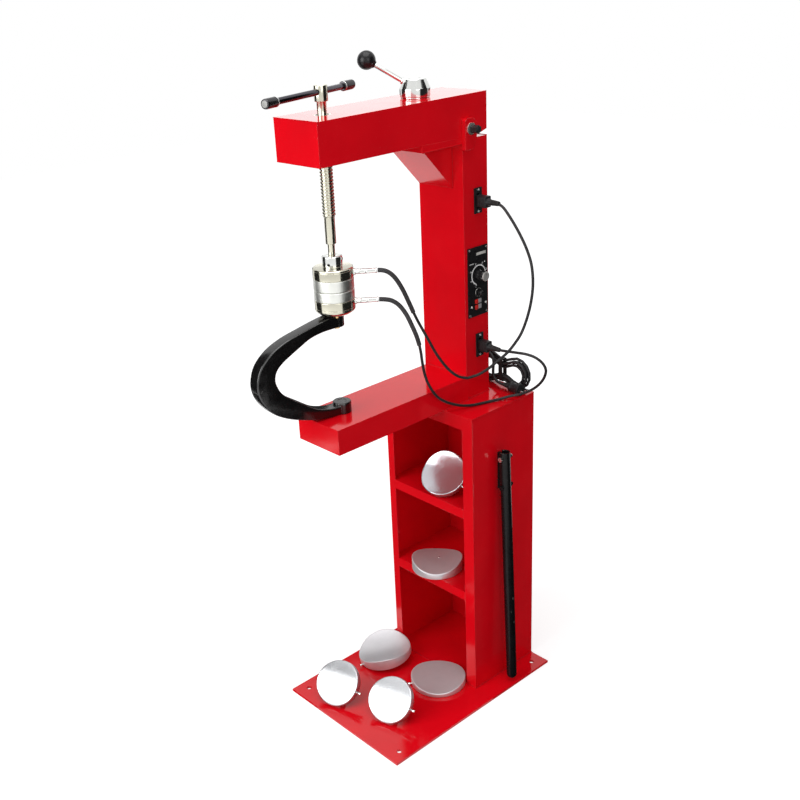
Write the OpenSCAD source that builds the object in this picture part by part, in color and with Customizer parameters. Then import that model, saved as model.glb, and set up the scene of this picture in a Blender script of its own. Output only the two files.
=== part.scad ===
// Tire vulcanizing machine: a floor-standing hot press for mending tires.
// A plate carries an open cabinet, the cabinet carries a column, and the column
// carries a hinged upper arm. A screw in that arm presses a round heater down on
// a second heater, which stands on a swinging bow on the lower arm.
// Origin: centre of the four floor bolts, on the underside of the base plate.
// +Z is up, -Y is the front, +X is the side with the controls.

/* [Base plate] */
// Width of the base plate
base_w = 400; // [392:1:440]
// Depth of the base plate
base_d = 558; // [552:1:600]
// Thickness of the base plate
base_t = 6; // [5:0.5:10]
// Distance from a floor bolt to the plate's side edge
bolt_edge_x = 28; // [22:1:36]
// Distance from a floor bolt to the plate's front or back edge
bolt_edge_y = 34; // [24:1:44]
// Diameter of the floor bolt holes
bolt_hole_d = 12; // [9:0.5:14]

/* [Cabinet] */
// Width of the cabinet
cab_w = 294; // [290:1:310]
// Depth of the cabinet
cab_d = 221; // [218:1:230]
// Height of the cabinet above the base plate
cab_h = 764; // [740:1:790]
// Offset of the cabinet's middle from the plate's middle
cab_x = -4; // [-8:1:2]
// Thickness of the cabinet's sheet steel
sheet_t = 2.5; // [1.5:0.5:4]
// Thickness of the cabinet's top plate
top_t = 6; // [4:0.5:8]
// Width of the front frame's left upright
stile_l_w = 21.5; // [18:0.5:26]
// Width of the front frame's right upright
stile_r_w = 32; // [26:0.5:36]
// Height of the front frame's top rail
rail_h = 36; // [30:1:44]
// Height of the shelves' front lips
lip_h = 25; // [18:1:30]
// Height of the lower shelf above the base plate
shelf_1_h = 280; // [260:1:300]
// Height of the upper shelf above the base plate
shelf_2_h = 515; // [490:1:540]

/* [Column] */
// Width of the column
col_w = 139; // [136:1:150]
// Depth of the column
col_d = 79; // [76:1:90]
// Height of the column above the cabinet
col_h = 616; // [600:1:640]
// Offset of the column's middle from the plate's middle
col_x = -18; // [-22:1:-12]
// Wall thickness of the column and the arms
tube_t = 5; // [3:0.5:6]
// Distance from the column's back to the cabinet's back
col_inset = 60; // [58:1:64]

/* [Lower arm] */
// Width of the lower arm
arm_w = 138; // [130:1:139]
// Height of the lower arm
arm_h = 60; // [50:1:66]
// Length of the lower arm, from the column forwards
arm_len = 412; // [400:1:430]
// Offset of the lower arm's middle from the plate's middle
arm_x = -12; // [-16:1:-10]

/* [Upper arm] */
// Height of the upper arm
beam_h = 89.5; // [80:0.5:100]
// Length of the upper arm
beam_len = 484; // [470:1:500]
// Height of the gap between the column and the upper arm
beam_gap = 6; // [4:0.5:8]
// Length of the relief cut under the upper arm's rear end
relief_len = 28; // [20:1:34]
// Height of the relief cut under the upper arm's rear end
relief_h = 8; // [4:0.5:12]

/* [Arm pivot] */
// Diameter of the pivot bolt
pivot_d = 12; // [10:0.5:14]
// Distance of the pivot bolt behind the column's front
pivot_in = 15.5; // [14:0.5:20]
// Height of the pivot bolt above the upper arm's underside
pivot_up = 17; // [14:0.5:22]
// Thickness of the ears that hold the pivot bolt
ear_t = 12; // [8:0.5:14]
// Width of the ears
ear_w = 36; // [30:1:40]
// Height of the ears
ear_h = 68; // [60:1:76]

/* [Seat and gusset] */
// Thickness of the seat plate under the upper arm
seat_t = 15; // [10:0.5:18]
// Length of the seat plate in front of the column
seat_len = 124.5; // [115:0.5:135]
// Width of the gusset box under the seat plate
gusset_w = 107; // [90:1:120]
// Length of the gusset box along the seat plate
gusset_len = 95; // [80:1:105]
// Height of the gusset box along the column
gusset_h = 100; // [80:1:120]

/* [Clamp lever] */
// Diameter of the clamp stud
stud_d = 16; // [12:0.5:18]
// Distance of the clamp stud in front of the column
stud_out = 71.5; // [66:0.5:80]
// Diameter of the clamp hub's base
hub_d = 66; // [58:1:70]
// Diameter of the clamp hub's top
hub_top_d = 49; // [44:1:54]
// Height of the clamp hub
hub_h = 37; // [32:1:42]
// Thickness of the washer under the hub
hub_washer_t = 3; // [2:0.5:4]
// Diameter of the lever's rod
lever_d = 10; // [8:0.5:12]
// Distance of the ball from the hub's axis
lever_reach = 101; // [90:1:120]
// Height of the ball above the upper arm
lever_rise = 82.5; // [70:0.5:95]
// Direction in which the lever points, from +X
lever_turn = 226; // [190:1:260]
// Diameter of the ball
ball_d = 40; // [32:1:44]

/* [Press screw] */
// Distance of the screw's axis in front of the column
screw_out = 333.5; // [325:0.5:340]
// Outer diameter of the thread
screw_d = 28; // [24:0.5:30]
// Pitch of the thread
screw_pitch = 7; // [5:0.5:8]
// Length of thread under the upper arm
thread_below = 118; // [116:1:130]
// Diameter of the plain stretch under the thread
plain_d = 22.8; // [20:0.2:24]
// Length of the plain stretch under the thread
plain_len = 58; // [50:1:62]
// Diameter of the screw's neck
neck_d = 15.2; // [12:0.2:18]
// Length of the neck that shows
neck_len = 24; // [20:1:28]
// Diameter of the screw's top shank
shank_d = 20; // [16:0.5:22]
// Length of the top shank above the upper arm
shank_len = 26; // [22:1:40]
// Diameter of the boss that holds the tommy bar
boss_d = 28; // [25:0.5:32]
// Height of the boss that holds the tommy bar
boss_h = 32; // [26:1:36]
// Diameter of the tommy bar
tommy_d = 13; // [10:0.5:14]
// Length of the tommy bar with its knobs
tommy_len = 290; // [270:1:320]
// How far the tommy bar is pushed through, towards the front
tommy_push = 34; // [10:1:44]
// Direction of the tommy bar, from the front to the back
tommy_turn = 104; // [90:1:120]
// Diameter of the tommy bar's knobs
knob_d = 20; // [16:0.5:24]
// Length of the tommy bar's knobs
knob_len = 36; // [28:1:42]
// Outer diameter of the screw's nut
nut_d = 38; // [36:0.5:44]
// Diameter of the nut's flange
nut_flange_d = 54; // [48:1:62]
// Thickness of the nut's flange
nut_flange_t = 8; // [5:0.5:10]

/* [Heaters] */
// Diameter of the heaters
heater_d = 88; // [80:1:96]
// Height of the upper heater's cap
cap_up_h = 24; // [20:0.5:28]
// Height of the upper heater's plate
plate_up_h = 24.5; // [18:0.5:28]
// Height of the lower heater's plate
plate_low_h = 22; // [18:0.5:26]
// Height of the lower heater's cap
cap_low_h = 32; // [28:0.5:36]
// Radius of the lower cap's rounded bottom edge
cap_round = 9; // [5:0.5:12]
// Wall thickness of the caps
cap_wall = 3; // [2:0.5:4]
// Thickness of the heating elements
element_t = 6; // [4:0.5:8]
// Diameter of the swivel collar
collar_d = 44; // [38:0.5:48]
// Height of the swivel collar
collar_h = 25; // [20:0.5:28]
// Diameter of the lead ferrules
ferrule_d = 12; // [10:0.5:12]
// Length of the lead ferrules
ferrule_len = 50; // [40:1:60]
// Direction in which the leads leave the heaters, from +X
ferrule_turn = 50; // [40:1:60]

/* [Bow] */
// Reach of the bow from the screw's axis
bow_reach = 221; // [200:1:235]
// Thickness of the bow
bow_t = 32; // [26:0.5:36]
// Direction in which the bow points, from +X
bow_turn = 265; // [255:1:285]
// Diameter of the bow's lower boss
bow_boss_d = 42; // [38:0.5:46]
// Height of the bow's lower boss
bow_boss_h = 26; // [20:0.5:28]
// Diameter of the bow's upper boss
bow_top_d = 34; // [32:0.5:42]
// Diameter of the locating pin on the lower arm
locate_d = 18; // [14:0.5:22]

/* [Control panel] */
// Width of the panel
panel_w = 66; // [60:1:70]
// Height of the panel
panel_h = 166; // [156:1:176]
// Thickness of the panel
panel_t = 2.5; // [1.5:0.5:4]
// Height of the panel's middle above the cabinet
panel_up = 286; // [270:1:300]
// Diameter of the timer knob's skirt
timer_d = 26; // [22:0.5:28]
// Length of the timer knob
timer_len = 24; // [18:0.5:28]
// Diameter of the fuse holder's ring
fuse_d = 18; // [14:0.5:20]
// Width of a rocker switch
rocker_w = 24; // [20:0.5:28]
// Height of a rocker switch
rocker_h = 11; // [9:0.5:12]

/* [Sockets and plugs] */
// Width of a socket's flange
socket_w = 24; // [22:0.5:30]
// Height of a socket's flange
socket_h = 58; // [54:0.5:62]
// Thickness of a socket's flange
socket_t = 3; // [2:0.5:4]
// Distance between a socket's screws
socket_span = 49; // [44:0.5:50]
// Height of the lower socket above the cabinet
socket_low_up = 129; // [120:1:140]
// Height of the upper socket above the cabinet
socket_high_up = 475; // [460:1:490]
// Length of a plug's body
plug_len = 30; // [26:1:34]
// Length of a plug's tapered boot
boot_len = 24; // [20:1:30]

/* [Cords] */
// Diameter of the heater leads
lead_d = 6.5; // [5:0.5:7]
// Diameter of the sleeved ends of the heater leads
sleeve_d = 10; // [8:0.5:10]
// Diameter of the mains cord
cord_d = 7; // [6:0.5:7]
// Number of loops in one layer of the hank
hank_loops = 2; // [1:1:2]
// Half the length of the hank's straight runs
hank_run = 45; // [40:1:48]
// Radius of the hank's inner folds
hank_fold = 22.4; // [22:0.2:24]
// Distance from one loop of the hank to the next
hank_step = 8.3; // [8:0.1:9]
// How far the tie draws the hank in
hank_waist = 14; // [8:1:14]

/* [Support bar] */
// Diameter of the support bar
bar_d = 26; // [24:0.5:28]
// Length of the support bar
bar_len = 647; // [620:1:655]
// Wall thickness of the support bar
bar_wall = 2.5; // [2:0.5:3]
// Distance of the bar's pivot below the cabinet's top
bar_below_top = 124; // [110:1:140]
// Distance of the bar's pivot from the cabinet's side
bar_out = 21; // [20.5:0.5:24]
// Distance of the bar's axis behind the cabinet's front
bar_back = 91; // [80:1:110]
// Lean of the bar away from the cabinet
bar_lean = 2; // [1:0.5:3]
// Distance between the bar's two bolts
bar_bolt_span = 75; // [60:1:80]
// Diameter of the bar's bolts
bar_bolt_d = 8; // [6:0.5:9]

/* [Pads] */
// Diameter of the small pads
pad_small_d = 117; // [108:1:120]
// Diameter of the middle pad
pad_middle_d = 132; // [126:1:136]
// Diameter of the large pads
pad_large_d = 143; // [136:1:143]
// Thickness of a flatter pad at its thickest
pad_t = 20; // [18:0.5:26]
// Depth of the curve in a flatter pad's face
pad_curve = 9; // [5:0.5:10]
// Thickness of a deep pad at its thickest
pad_deep_t = 32; // [28:0.5:34]
// Depth of the curve in a deep pad's face
pad_deep_curve = 16; // [12:0.5:18]
// Thickness of the small hollow pad at its thickest
pad_hollow_t = 24; // [22:0.5:28]
// Depth of the curve in the small hollow pad's face
pad_hollow_curve = 12; // [9:0.5:14]
// Diameter of a pad's spigot
spigot_d = 14; // [10:0.5:16]
// Lean of the pads that stand on their spigots
pad_lean = 45; // [40:1:50]
// Lean of the large pad that rests on a short spigot
pad_low_lean = 9; // [6:1:12]

/* [Hidden] */

// Clearances and small sizes that several pieces share
fit = 0.05;        // running fit, on the radius
gap = 0.3;         // gap between pieces that only touch
over = 1;          // how far a cut runs past a face
round_fn = 64;     // smoothness of round surfaces
small_fn = 32;     // smoothness of small round surfaces
hex_fn = 6;        // sides of a hexagon

// Levels, from the floor up
cab_top_z = base_t + cab_h;
shelf_1_z = base_t + shelf_1_h;
shelf_2_z = base_t + shelf_2_h;
arm_top_z = cab_top_z + arm_h;
col_top_z = cab_top_z + col_h;
beam_z = col_top_z + beam_gap;
beam_top_z = beam_z + beam_h;
pivot_z = beam_z + pivot_up;

// Places from side to side
cab_left = cab_x - cab_w / 2;
cab_right = cab_x + cab_w / 2;
open_left = cab_left + stile_l_w;
open_right = cab_right - stile_r_w;
col_left = col_x - col_w / 2;
col_right = col_x + col_w / 2;
arm_left = arm_x - arm_w / 2;
arm_right = arm_x + arm_w / 2;
beam_w = col_w - 2 * gap;
beam_left = col_x - beam_w / 2;
beam_right = col_x + beam_w / 2;

// Places from front to back
cab_back = base_d / 2 + gap;
cab_front = cab_back - cab_d;
col_back = cab_back - col_inset;
col_front = col_back - col_d;
arm_front = col_front - arm_len;
beam_front = col_back - beam_len;
pivot_y = col_front + pivot_in;
stud_y = col_front - stud_out;
screw_y = col_front - screw_out;

// The press from top to bottom, closed on the lower heater
boss_z = beam_top_z + shank_len;
thread_z = beam_z - thread_below;
plain_z = thread_z - plain_len;
collar_top_z = plain_z - neck_len;
collar_z = collar_top_z - collar_h;
cap_up_z = collar_z - cap_up_h;
plate_up_z = cap_up_z - plate_up_h;
plate_low_z = plate_up_z - gap - plate_low_h;
cap_low_z = plate_low_z - cap_low_h;
bow_low_z = arm_top_z + gap;
lead_low_z = plate_low_z - ferrule_d / 2 - cap_wall;
lead_up_z = cap_up_z + ferrule_d / 2 + cap_wall;

// Colours
red = "red";
black = "#1c1c1c";
steel = "silver";
chrome = "gainsboro";
aluminium = "#c8c8c8";
brass = "goldenrod";

// A box between two corners
module block(low, high) {
    translate(low) cube(high - low);
}

// An outline of [y, z] points, drawn out along X
module along_x(x0, x1) {
    translate([x0, 0, 0]) rotate([90, 0, 90]) linear_extrude(x1 - x0) children();
}

// An upright cylinder between two heights
module post(x, y, z0, z1, d, fn = round_fn) {
    translate([x, y, z0]) cylinder(h = z1 - z0, d = d, $fn = fn);
}

// A cylinder along X
module rod_x(x0, x1, y, z, d, fn = round_fn) {
    translate([x0, y, z]) rotate([0, 90, 0]) cylinder(h = x1 - x0, d = d, $fn = fn);
}

// A cylinder along Y
module rod_y(y0, y1, x, z, d, fn = round_fn) {
    translate([x, y0, z]) rotate([-90, 0, 0]) cylinder(h = y1 - y0, d = d, $fn = fn);
}

// The base plate with its four floor bolt holes
bolt_span_x = base_w - 2 * bolt_edge_x;
bolt_span_y = base_d - 2 * bolt_edge_y;
module base_plate() {
    color(red)
    difference() {
        block([-base_w / 2, -base_d / 2, 0], [base_w / 2, base_d / 2, base_t]);
        for (sx = [-1, 1], sy = [-1, 1])
            post(sx * bolt_span_x / 2, sy * bolt_span_y / 2, -over, base_t + over, bolt_hole_d);
    }
}

// Two side sheets and the back sheet of the cabinet
module cabinet_walls() {
    wall_top = cab_top_z - top_t;
    color(red) {
        block([cab_left, cab_front + sheet_t, base_t], [cab_left + sheet_t, cab_back, wall_top]);
        block([cab_right - sheet_t, cab_front + sheet_t, base_t], [cab_right, cab_back, wall_top]);
        block([cab_left + sheet_t, cab_back - sheet_t, base_t],
              [cab_right - sheet_t, cab_back, wall_top]);
    }
}

module cabinet_top() {
    color(red)
    block([cab_left, cab_front, cab_top_z - top_t], [cab_right, cab_back, cab_top_z]);
}

// Uprights and top rail round the cabinet's open front
module front_frame() {
    color(red)
    difference() {
        block([cab_left, cab_front, base_t], [cab_right, cab_front + sheet_t, cab_top_z - top_t]);
        block([open_left, cab_front - over, 0],
              [open_right, cab_front + sheet_t + over, cab_top_z - rail_h]);
    }
}

// One shelf: a sheet whose front edge is bent down
module shelf(z) {
    block([cab_left + sheet_t, cab_front + sheet_t, z - sheet_t],
          [cab_right - sheet_t, cab_back - sheet_t, z]);
    block([open_left, cab_front, z - lip_h], [open_right, cab_front + sheet_t, z]);
}

module shelves() {
    color(red) for (z = [shelf_1_z, shelf_2_z]) shelf(z);
}

// The lower arm, a box tube with a closed front, on top of the cabinet
module lower_arm() {
    color(red)
    difference() {
        block([arm_left, arm_front, cab_top_z], [arm_right, col_front, arm_top_z]);
        block([arm_left + tube_t, arm_front + tube_t, cab_top_z + tube_t],
              [arm_right - tube_t, col_front + over, arm_top_z - tube_t]);
    }
}

// The pin on which the bow turns
module locating_pin() {
    pin_top = bow_low_z + bow_boss_h - fit * 40;
    color(steel) post(col_x, screw_y, arm_top_z, pin_top, locate_d);
}

// Places on the column's right face
panel_y = col_front + col_d / 2 + panel_t;
panel_z = cab_top_z + panel_up;
socket_y = col_front + col_d * 0.58;
socket_low_z = cab_top_z + socket_low_up;
socket_high_z = cab_top_z + socket_high_up;
socket_cut_w = socket_w - 4 * socket_t;
socket_cut_h = socket_span - 4 * socket_t;
panel_cut_w = panel_w * 0.6;
panel_cut_h = panel_h * 0.86;

// The mains cord leaves the column's back here
gland_x = col_left + 13;
gland_z = cab_top_z + 82;
gland_d = 16;
gland_hole_d = 13;

// The column, a closed box tube with cuts for the controls and the sockets
module column() {
    color(red)
    difference() {
        block([col_left, col_front, cab_top_z], [col_right, col_back, col_top_z]);
        block([col_left + tube_t, col_front + tube_t, cab_top_z - over],
              [col_right - tube_t, col_back - tube_t, col_top_z - tube_t]);
        block([col_right - tube_t - over, panel_y - panel_cut_w / 2, panel_z - panel_cut_h / 2],
              [col_right + over, panel_y + panel_cut_w / 2, panel_z + panel_cut_h / 2]);
        for (z = [socket_low_z, socket_high_z])
            block([col_right - tube_t - over, socket_y - socket_cut_w / 2, z - socket_cut_h / 2],
                  [col_right + over, socket_y + socket_cut_w / 2, z + socket_cut_h / 2]);
        rod_y(col_back - tube_t - over, col_back + over, gland_x, gland_z, gland_hole_d);
    }
}

// The seat plate that the upper arm rests on
seat_z = beam_z - seat_t;
module seat_plate() {
    color(red)
    difference() {
        block([col_left, col_front - seat_len, seat_z], [col_right, col_front, beam_z]);
        post(col_x, stud_y, seat_z - over, beam_z + over, stud_d);
    }
}

// The gusset under the seat plate: a sloping plate between two cheeks
module gusset() {
    slope = norm([gusset_len, gusset_h]);
    in_y = tube_t * slope / gusset_h;
    in_z = tube_t * slope / gusset_len;
    color(red)
    difference() {
        along_x(col_left, col_left + gusset_w)
            polygon([[col_front - gusset_len, seat_z], [col_front, seat_z],
                     [col_front, seat_z - gusset_h]]);
        along_x(col_left + tube_t, col_left + gusset_w - tube_t)
            polygon([[col_front - gusset_len + in_y, seat_z + over], [col_front + over, seat_z + over],
                     [col_front + over, seat_z - gusset_h + in_z],
                     [col_front, seat_z - gusset_h + in_z]]);
    }
}

// One ear, as an outline seen from the side
ear_low_z = beam_z + beam_h * 0.45 - ear_h;
ear_cut = ear_w * 0.3;
module ear_outline() {
    y0 = pivot_y - ear_w / 2;
    y1 = pivot_y + ear_w / 2;
    z1 = ear_low_z + ear_h;
    polygon([[y0, ear_low_z], [y1 - ear_cut, ear_low_z], [y1, ear_low_z + ear_cut * 2],
             [y1, z1 - ear_cut], [y1 - ear_cut, z1], [y0 + ear_cut / 2, z1], [y0, z1 - ear_cut / 2]]);
}

module pivot_ears() {
    color(red)
    for (x = [col_left - ear_t, col_right])
        difference() {
            along_x(x, x + ear_t) ear_outline();
            rod_x(x - over, x + ear_t + over, pivot_y, pivot_z, pivot_d + 2 * fit);
        }
}

// The pivot bolt with its head, washers and two locked nuts
bolt_head_share = 0.65;
nut_share = 0.8;
hex_share = 1.55;
module hex_x(x0, x1, y, z, d) {
    rod_x(x0, x1, y, z, d, hex_fn);
}

pivot_washer_t = 2.5;
pivot_washer_d = 26;
module pivot_bolt() {
    left = col_left - ear_t;
    right = col_right + ear_t;
    nut_1 = right + pivot_washer_t;
    nut_2 = nut_1 + pivot_d * nut_share + 2 * gap;
    tip = nut_2 + pivot_d * nut_share + gap * 4;
    color(black) {
        rod_x(left - pivot_washer_t, tip, pivot_y, pivot_z, pivot_d);
        hex_x(left - pivot_washer_t - pivot_d * bolt_head_share, left - pivot_washer_t,
              pivot_y, pivot_z, pivot_d * hex_share);
    }
    for (x = [left - pivot_washer_t, right])
        color(chrome) ring_x(x, x + pivot_washer_t, pivot_washer_d, pivot_d);
    for (x = [nut_1, nut_2])
        color(black)
        difference() {
            hex_x(x, x + pivot_d * nut_share, pivot_y, pivot_z, pivot_d * hex_share);
            rod_x(x - over, x + pivot_d + over, pivot_y, pivot_z, pivot_d + 2 * fit);
        }
}

// A flat ring round the pivot
module ring_x(x0, x1, d, hole) {
    difference() {
        rod_x(x0, x1, pivot_y, pivot_z, d);
        rod_x(x0 - over, x1 + over, pivot_y, pivot_z, hole + 2 * fit);
    }
}

// The stud that ties the upper arm down, welded into the seat plate
stud_play = 2.5;
stud_top_z = beam_top_z + hub_washer_t + hub_h * 0.72;
module clamp_stud() {
    color(steel) post(col_x, stud_y, seat_z, stud_top_z, stud_d);
}

// The panel with the two bezels of its rocker switches
timer_y = panel_y + panel_w * 0.03;
timer_z = panel_z + panel_h * 0.095;
fuse_y = panel_y + panel_w * 0.02;
fuse_z = panel_z - panel_h * 0.16;
rocker_y = panel_y - panel_w * 0.05;
rocker_pitch = rocker_h + 2.6;
rocker_mid_z = panel_z - panel_h * 0.32;
rocker_up_z = rocker_mid_z + rocker_pitch / 2;
rocker_low_z = rocker_mid_z - rocker_pitch / 2;
bezel_rim = 1.2;
bezel_t = 1.5;
shaft_d = 6;
module rocker_window(z, rim, x0, x1) {
    block([x0, rocker_y - rocker_w / 2 - rim, z - rocker_h / 2 - rim],
          [x1, rocker_y + rocker_w / 2 + rim, z + rocker_h / 2 + rim]);
}

module control_panel() {
    face = col_right + panel_t;
    color(black)
    difference() {
        union() {
            block([col_right, panel_y - panel_w / 2, panel_z - panel_h / 2],
                  [face, panel_y + panel_w / 2, panel_z + panel_h / 2]);
            for (z = [rocker_up_z, rocker_low_z]) rocker_window(z, bezel_rim, face - gap, face + bezel_t);
        }
        for (z = [rocker_up_z, rocker_low_z])
            rocker_window(z, 0, col_right - over, face + bezel_t + over);
        rod_x(col_right - over, face + over, timer_y, timer_z, shaft_d + 4 * gap);
        rod_x(col_right - over, face + over, fuse_y, fuse_z, fuse_d * 0.7);
        panel_screw_places() rod_x(col_right - over, face + over, 0, 0, screw_hole_d);
    }
}

// Small round-headed screws on the panel and on the sockets
screw_hole_d = 3;
screw_head_d = 5.6;
screw_head_t = 1.8;
screw_inset = 5;
module panel_screw_places() {
    for (sy = [-1, 1], sz = [-1, 1])
        translate([0, panel_y + sy * (panel_w / 2 - screw_inset),
                   panel_z + sz * (panel_h / 2 - screw_inset)])
            children();
}

module socket_screw_places() {
    for (z = [socket_low_z, socket_high_z], sz = [-1, 1])
        translate([0, socket_y, z + sz * socket_span / 2]) children();
}

module small_screw(face) {
    rod_x(col_right, face, 0, 0, screw_hole_d - 2 * fit, small_fn);
    rod_x(face, face + screw_head_t, 0, 0, screw_head_d, small_fn);
}

module panel_screws() {
    color(chrome) {
        panel_screw_places() small_screw(col_right + panel_t);
        socket_screw_places() small_screw(col_right + socket_t);
    }
}

// Bodies of the timer, the fuse holder and the switches, inside the column
timer_body = [34, 34, 36];
fuse_body_len = 30;
switch_body_len = 18;
module control_bodies() {
    back = col_right - gap;
    color(black) {
        block([back - timer_body[0], timer_y - timer_body[1] / 2, timer_z - timer_body[2] / 2],
              [back, timer_y + timer_body[1] / 2, timer_z + timer_body[2] / 2]);
        rod_x(back, col_right + panel_t + timer_len * 0.7, timer_y, timer_z, shaft_d - 2 * fit);
        rod_x(back - fuse_body_len, col_right + panel_t, fuse_y, fuse_z, fuse_d * 0.7 - 2 * gap);
        difference() {
            rod_x(col_right + panel_t, col_right + panel_t + bezel_t, fuse_y, fuse_z, fuse_d);
            rod_x(col_right, col_right + panel_t + bezel_t + over, fuse_y, fuse_z, fuse_d * 0.7 - 2 * gap);
        }
        for (z = [rocker_up_z, rocker_low_z])
            rocker_window(z, -gap, back - switch_body_len, back);
    }
}

// The timer knob: a wide skirt, a round grip and a bore for the shaft
module timer_knob() {
    face = col_right + panel_t + gap;
    color(black)
    translate([face, timer_y, timer_z]) rotate([0, 90, 0])
    difference() {
        union() {
            cylinder(h = timer_len * 0.32, d1 = timer_d, d2 = timer_d * 0.88, $fn = round_fn);
            cylinder(h = timer_len - gap, d1 = timer_d * 0.76, d2 = timer_d * 0.7, $fn = round_fn);
        }
        translate([0, 0, -over]) cylinder(h = timer_len * 0.7 + over, d = shaft_d, $fn = small_fn);
    }
}

// The fuse holder's cap, which turns a quarter
module fuse_cap() {
    face = col_right + panel_t + bezel_t + gap;
    color(black)
    translate([face, fuse_y, fuse_z]) rotate([0, 90, 0]) {
        cylinder(h = fuse_d * 0.5, d = fuse_d * 0.66, $fn = round_fn);
        translate([0, 0, fuse_d * 0.5]) cylinder(h = fuse_d * 0.1, d = fuse_d * 0.5, $fn = round_fn);
    }
}

// One rocker, tipped about an upright axis
rocker_tip = 9;
rocker_rise = 4.5;
module rocker(z) {
    half = rocker_w / 2 - gap * 2;
    axis_x = col_right + panel_t;
    translate([axis_x, rocker_y, z - rocker_h / 2 + gap]) rotate([0, 0, rocker_tip]) {
        linear_extrude(rocker_h - 2 * gap)
            polygon([[0, -half * 0.9], [rocker_rise, -half * 0.9], [rocker_rise * 0.6, 0],
                     [rocker_rise, half * 0.9], [0, half * 0.9]]);
        cylinder(h = rocker_h - 2 * gap, d = 2 * (panel_t - gap), $fn = round_fn);
    }
}

module rocker_upper() { color(red) rocker(rocker_up_z); }
module rocker_lower() { color(red) rocker(rocker_low_z); }

// The terminal block on the column's inner back wall
terminal = [60, 18, 26];
module terminal_block() {
    y1 = col_back - tube_t;
    z0 = panel_z - panel_h / 2 - terminal[2] * 2;
    color("ivory")
    block([col_x - terminal[0] / 2, y1 - terminal[1], z0], [col_x + terminal[0] / 2, y1, z0 + terminal[2]]);
}

// One socket: a flange on the column and a cup inside it
cup_len = 16;
cup_wall = 1.5;
pin_len = 12;
pin_t = 2.2;
pin_pitch = 6.5;
module socket(z) {
    face = col_right + socket_t;
    half_y = socket_cut_w / 2 - gap;
    half_z = socket_cut_h / 2 - gap;
    difference() {
        union() {
            block([col_right, socket_y - socket_w / 2, z - socket_h / 2],
                  [face, socket_y + socket_w / 2, z + socket_h / 2]);
            block([col_right - cup_len, socket_y - half_y, z - half_z],
                  [col_right + gap, socket_y + half_y, z + half_z]);
        }
        block([col_right - cup_len + cup_wall, socket_y - half_y + cup_wall, z - half_z + cup_wall],
              [face + over, socket_y + half_y - cup_wall, z + half_z - cup_wall]);
        for (sz = [-1, 1])
            rod_x(col_right - over, face + over, socket_y, z + sz * socket_span / 2, screw_hole_d);
    }
    for (k = [-1, 0, 1])
        block([col_right - cup_len + cup_wall, socket_y - pin_t, z + k * pin_pitch - pin_t / 2],
              [col_right - cup_len + cup_wall + pin_len, socket_y + pin_t, z + k * pin_pitch + pin_t / 2]);
}

module sockets() {
    color(black) for (z = [socket_low_z, socket_high_z]) socket(z);
}

// One plug: a nose in the socket, a body and a tapered boot
nose_len = 14;
plug_w = 20;
plug_h = 26;
plug_taper_len = 8;
boot_d = 13;
boot_end_d = 10;
module plug(z) {
    nose_y = socket_cut_w / 2 - gap * 2 - cup_wall;
    nose_z = socket_cut_h / 2 - gap * 2 - cup_wall;
    x0 = col_right + socket_t;
    x1 = x0 + plug_len;
    difference() {
        block([x0 - nose_len, socket_y - nose_y, z - nose_z], [x0 + over, socket_y + nose_y, z + nose_z]);
        for (k = [-1, 0, 1])
            block([x0 - nose_len - over, socket_y - pin_t - gap, z + k * pin_pitch - pin_t / 2 - gap],
                  [x0, socket_y + pin_t + gap, z + k * pin_pitch + pin_t / 2 + gap]);
    }
    block([x0, socket_y - plug_w / 2, z - plug_h / 2], [x1, socket_y + plug_w / 2, z + plug_h / 2]);
    translate([x1, socket_y, z]) rotate([0, 90, 0]) {
        cylinder(h = plug_taper_len, d1 = plug_w, d2 = boot_d, $fn = round_fn);
        translate([0, 0, plug_taper_len])
            cylinder(h = boot_len, d1 = boot_d, d2 = boot_end_d, $fn = round_fn);
    }
}

module plug_upper() { color(black) plug(socket_high_z); }
module plug_lower() { color(black) plug(socket_low_z); }

// Routes of the cords: points chosen by hand, from one end to the other
upper_sleeve_route = [
    [43, -120, 1152], [50, -112, 1151], [56, -102, 1146], [61, -92, 1136],
    [64, -81, 1120], [67, -69, 1097], [69, -57, 1070], [71, -46, 1044]
];
upper_lead_route = [
    [71, -45.8, 1043.6], [73, -33, 1017], [77, -10, 973], [82, 12, 930], [89, 37, 892],
    [98, 61, 867], [109, 83, 858], [123, 105, 864], [137, 125, 877], [151, 143, 895],
    [164, 158, 912], [177, 170, 935], [190, 178, 962], [202, 184, 1002], [210, 187, 1042],
    [213, 188, 1082], [208, 188, 1122], [195, 187, 1155], [177, 187, 1183],
    [159, 187, 1206], [142, 186, 1226], [129, 186, 1238], [117, 186, 1244]
];
lower_sleeve_route = [
    [43, -120, 1087], [51, -111, 1086], [61, -99, 1082], [71, -87, 1070],
    [79, -75, 1048], [84, -63, 1018], [85, -52, 992], [84, -44, 970]
];
lower_lead_route = [
    [83.9, -43.8, 969.6], [80, -36, 948], [74, -27, 921], [69, -17, 892], [67, -6, 865],
    [67, 9, 838], [69, 27, 815], [73, 48, 799], [78, 70, 787], [84, 91, 779],
    [91, 112, 775], [99, 135, 774], [107, 159, 774], [117, 184, 775], [130, 204, 779],
    [150, 216, 786], [172, 221, 797], [194, 222, 813], [213, 220, 832], [227, 216, 852],
    [234, 211, 872], [228, 205, 889], [212, 199, 900], [190, 194, 904], [165, 190, 903],
    [140, 187, 901], [117, 186, 899]
];
mains_start_route = [
    [-74.5, 240.8, 852], [-74.5, 248, 852], [-70.7, 261.6, 852], [-60.5, 271.8, 852],
    [-46.5, 275.5, 852], [-28, 274, 852], [-8, 271.5, 851]
];
mains_end_route = [
    [25, 258.5, 844], [37, 253, 832.5], [41, 247, 817], [45, 243, 801.5],
    [56, 241, 790], [71, 240, 786], [80, 240, 786]
];

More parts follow.
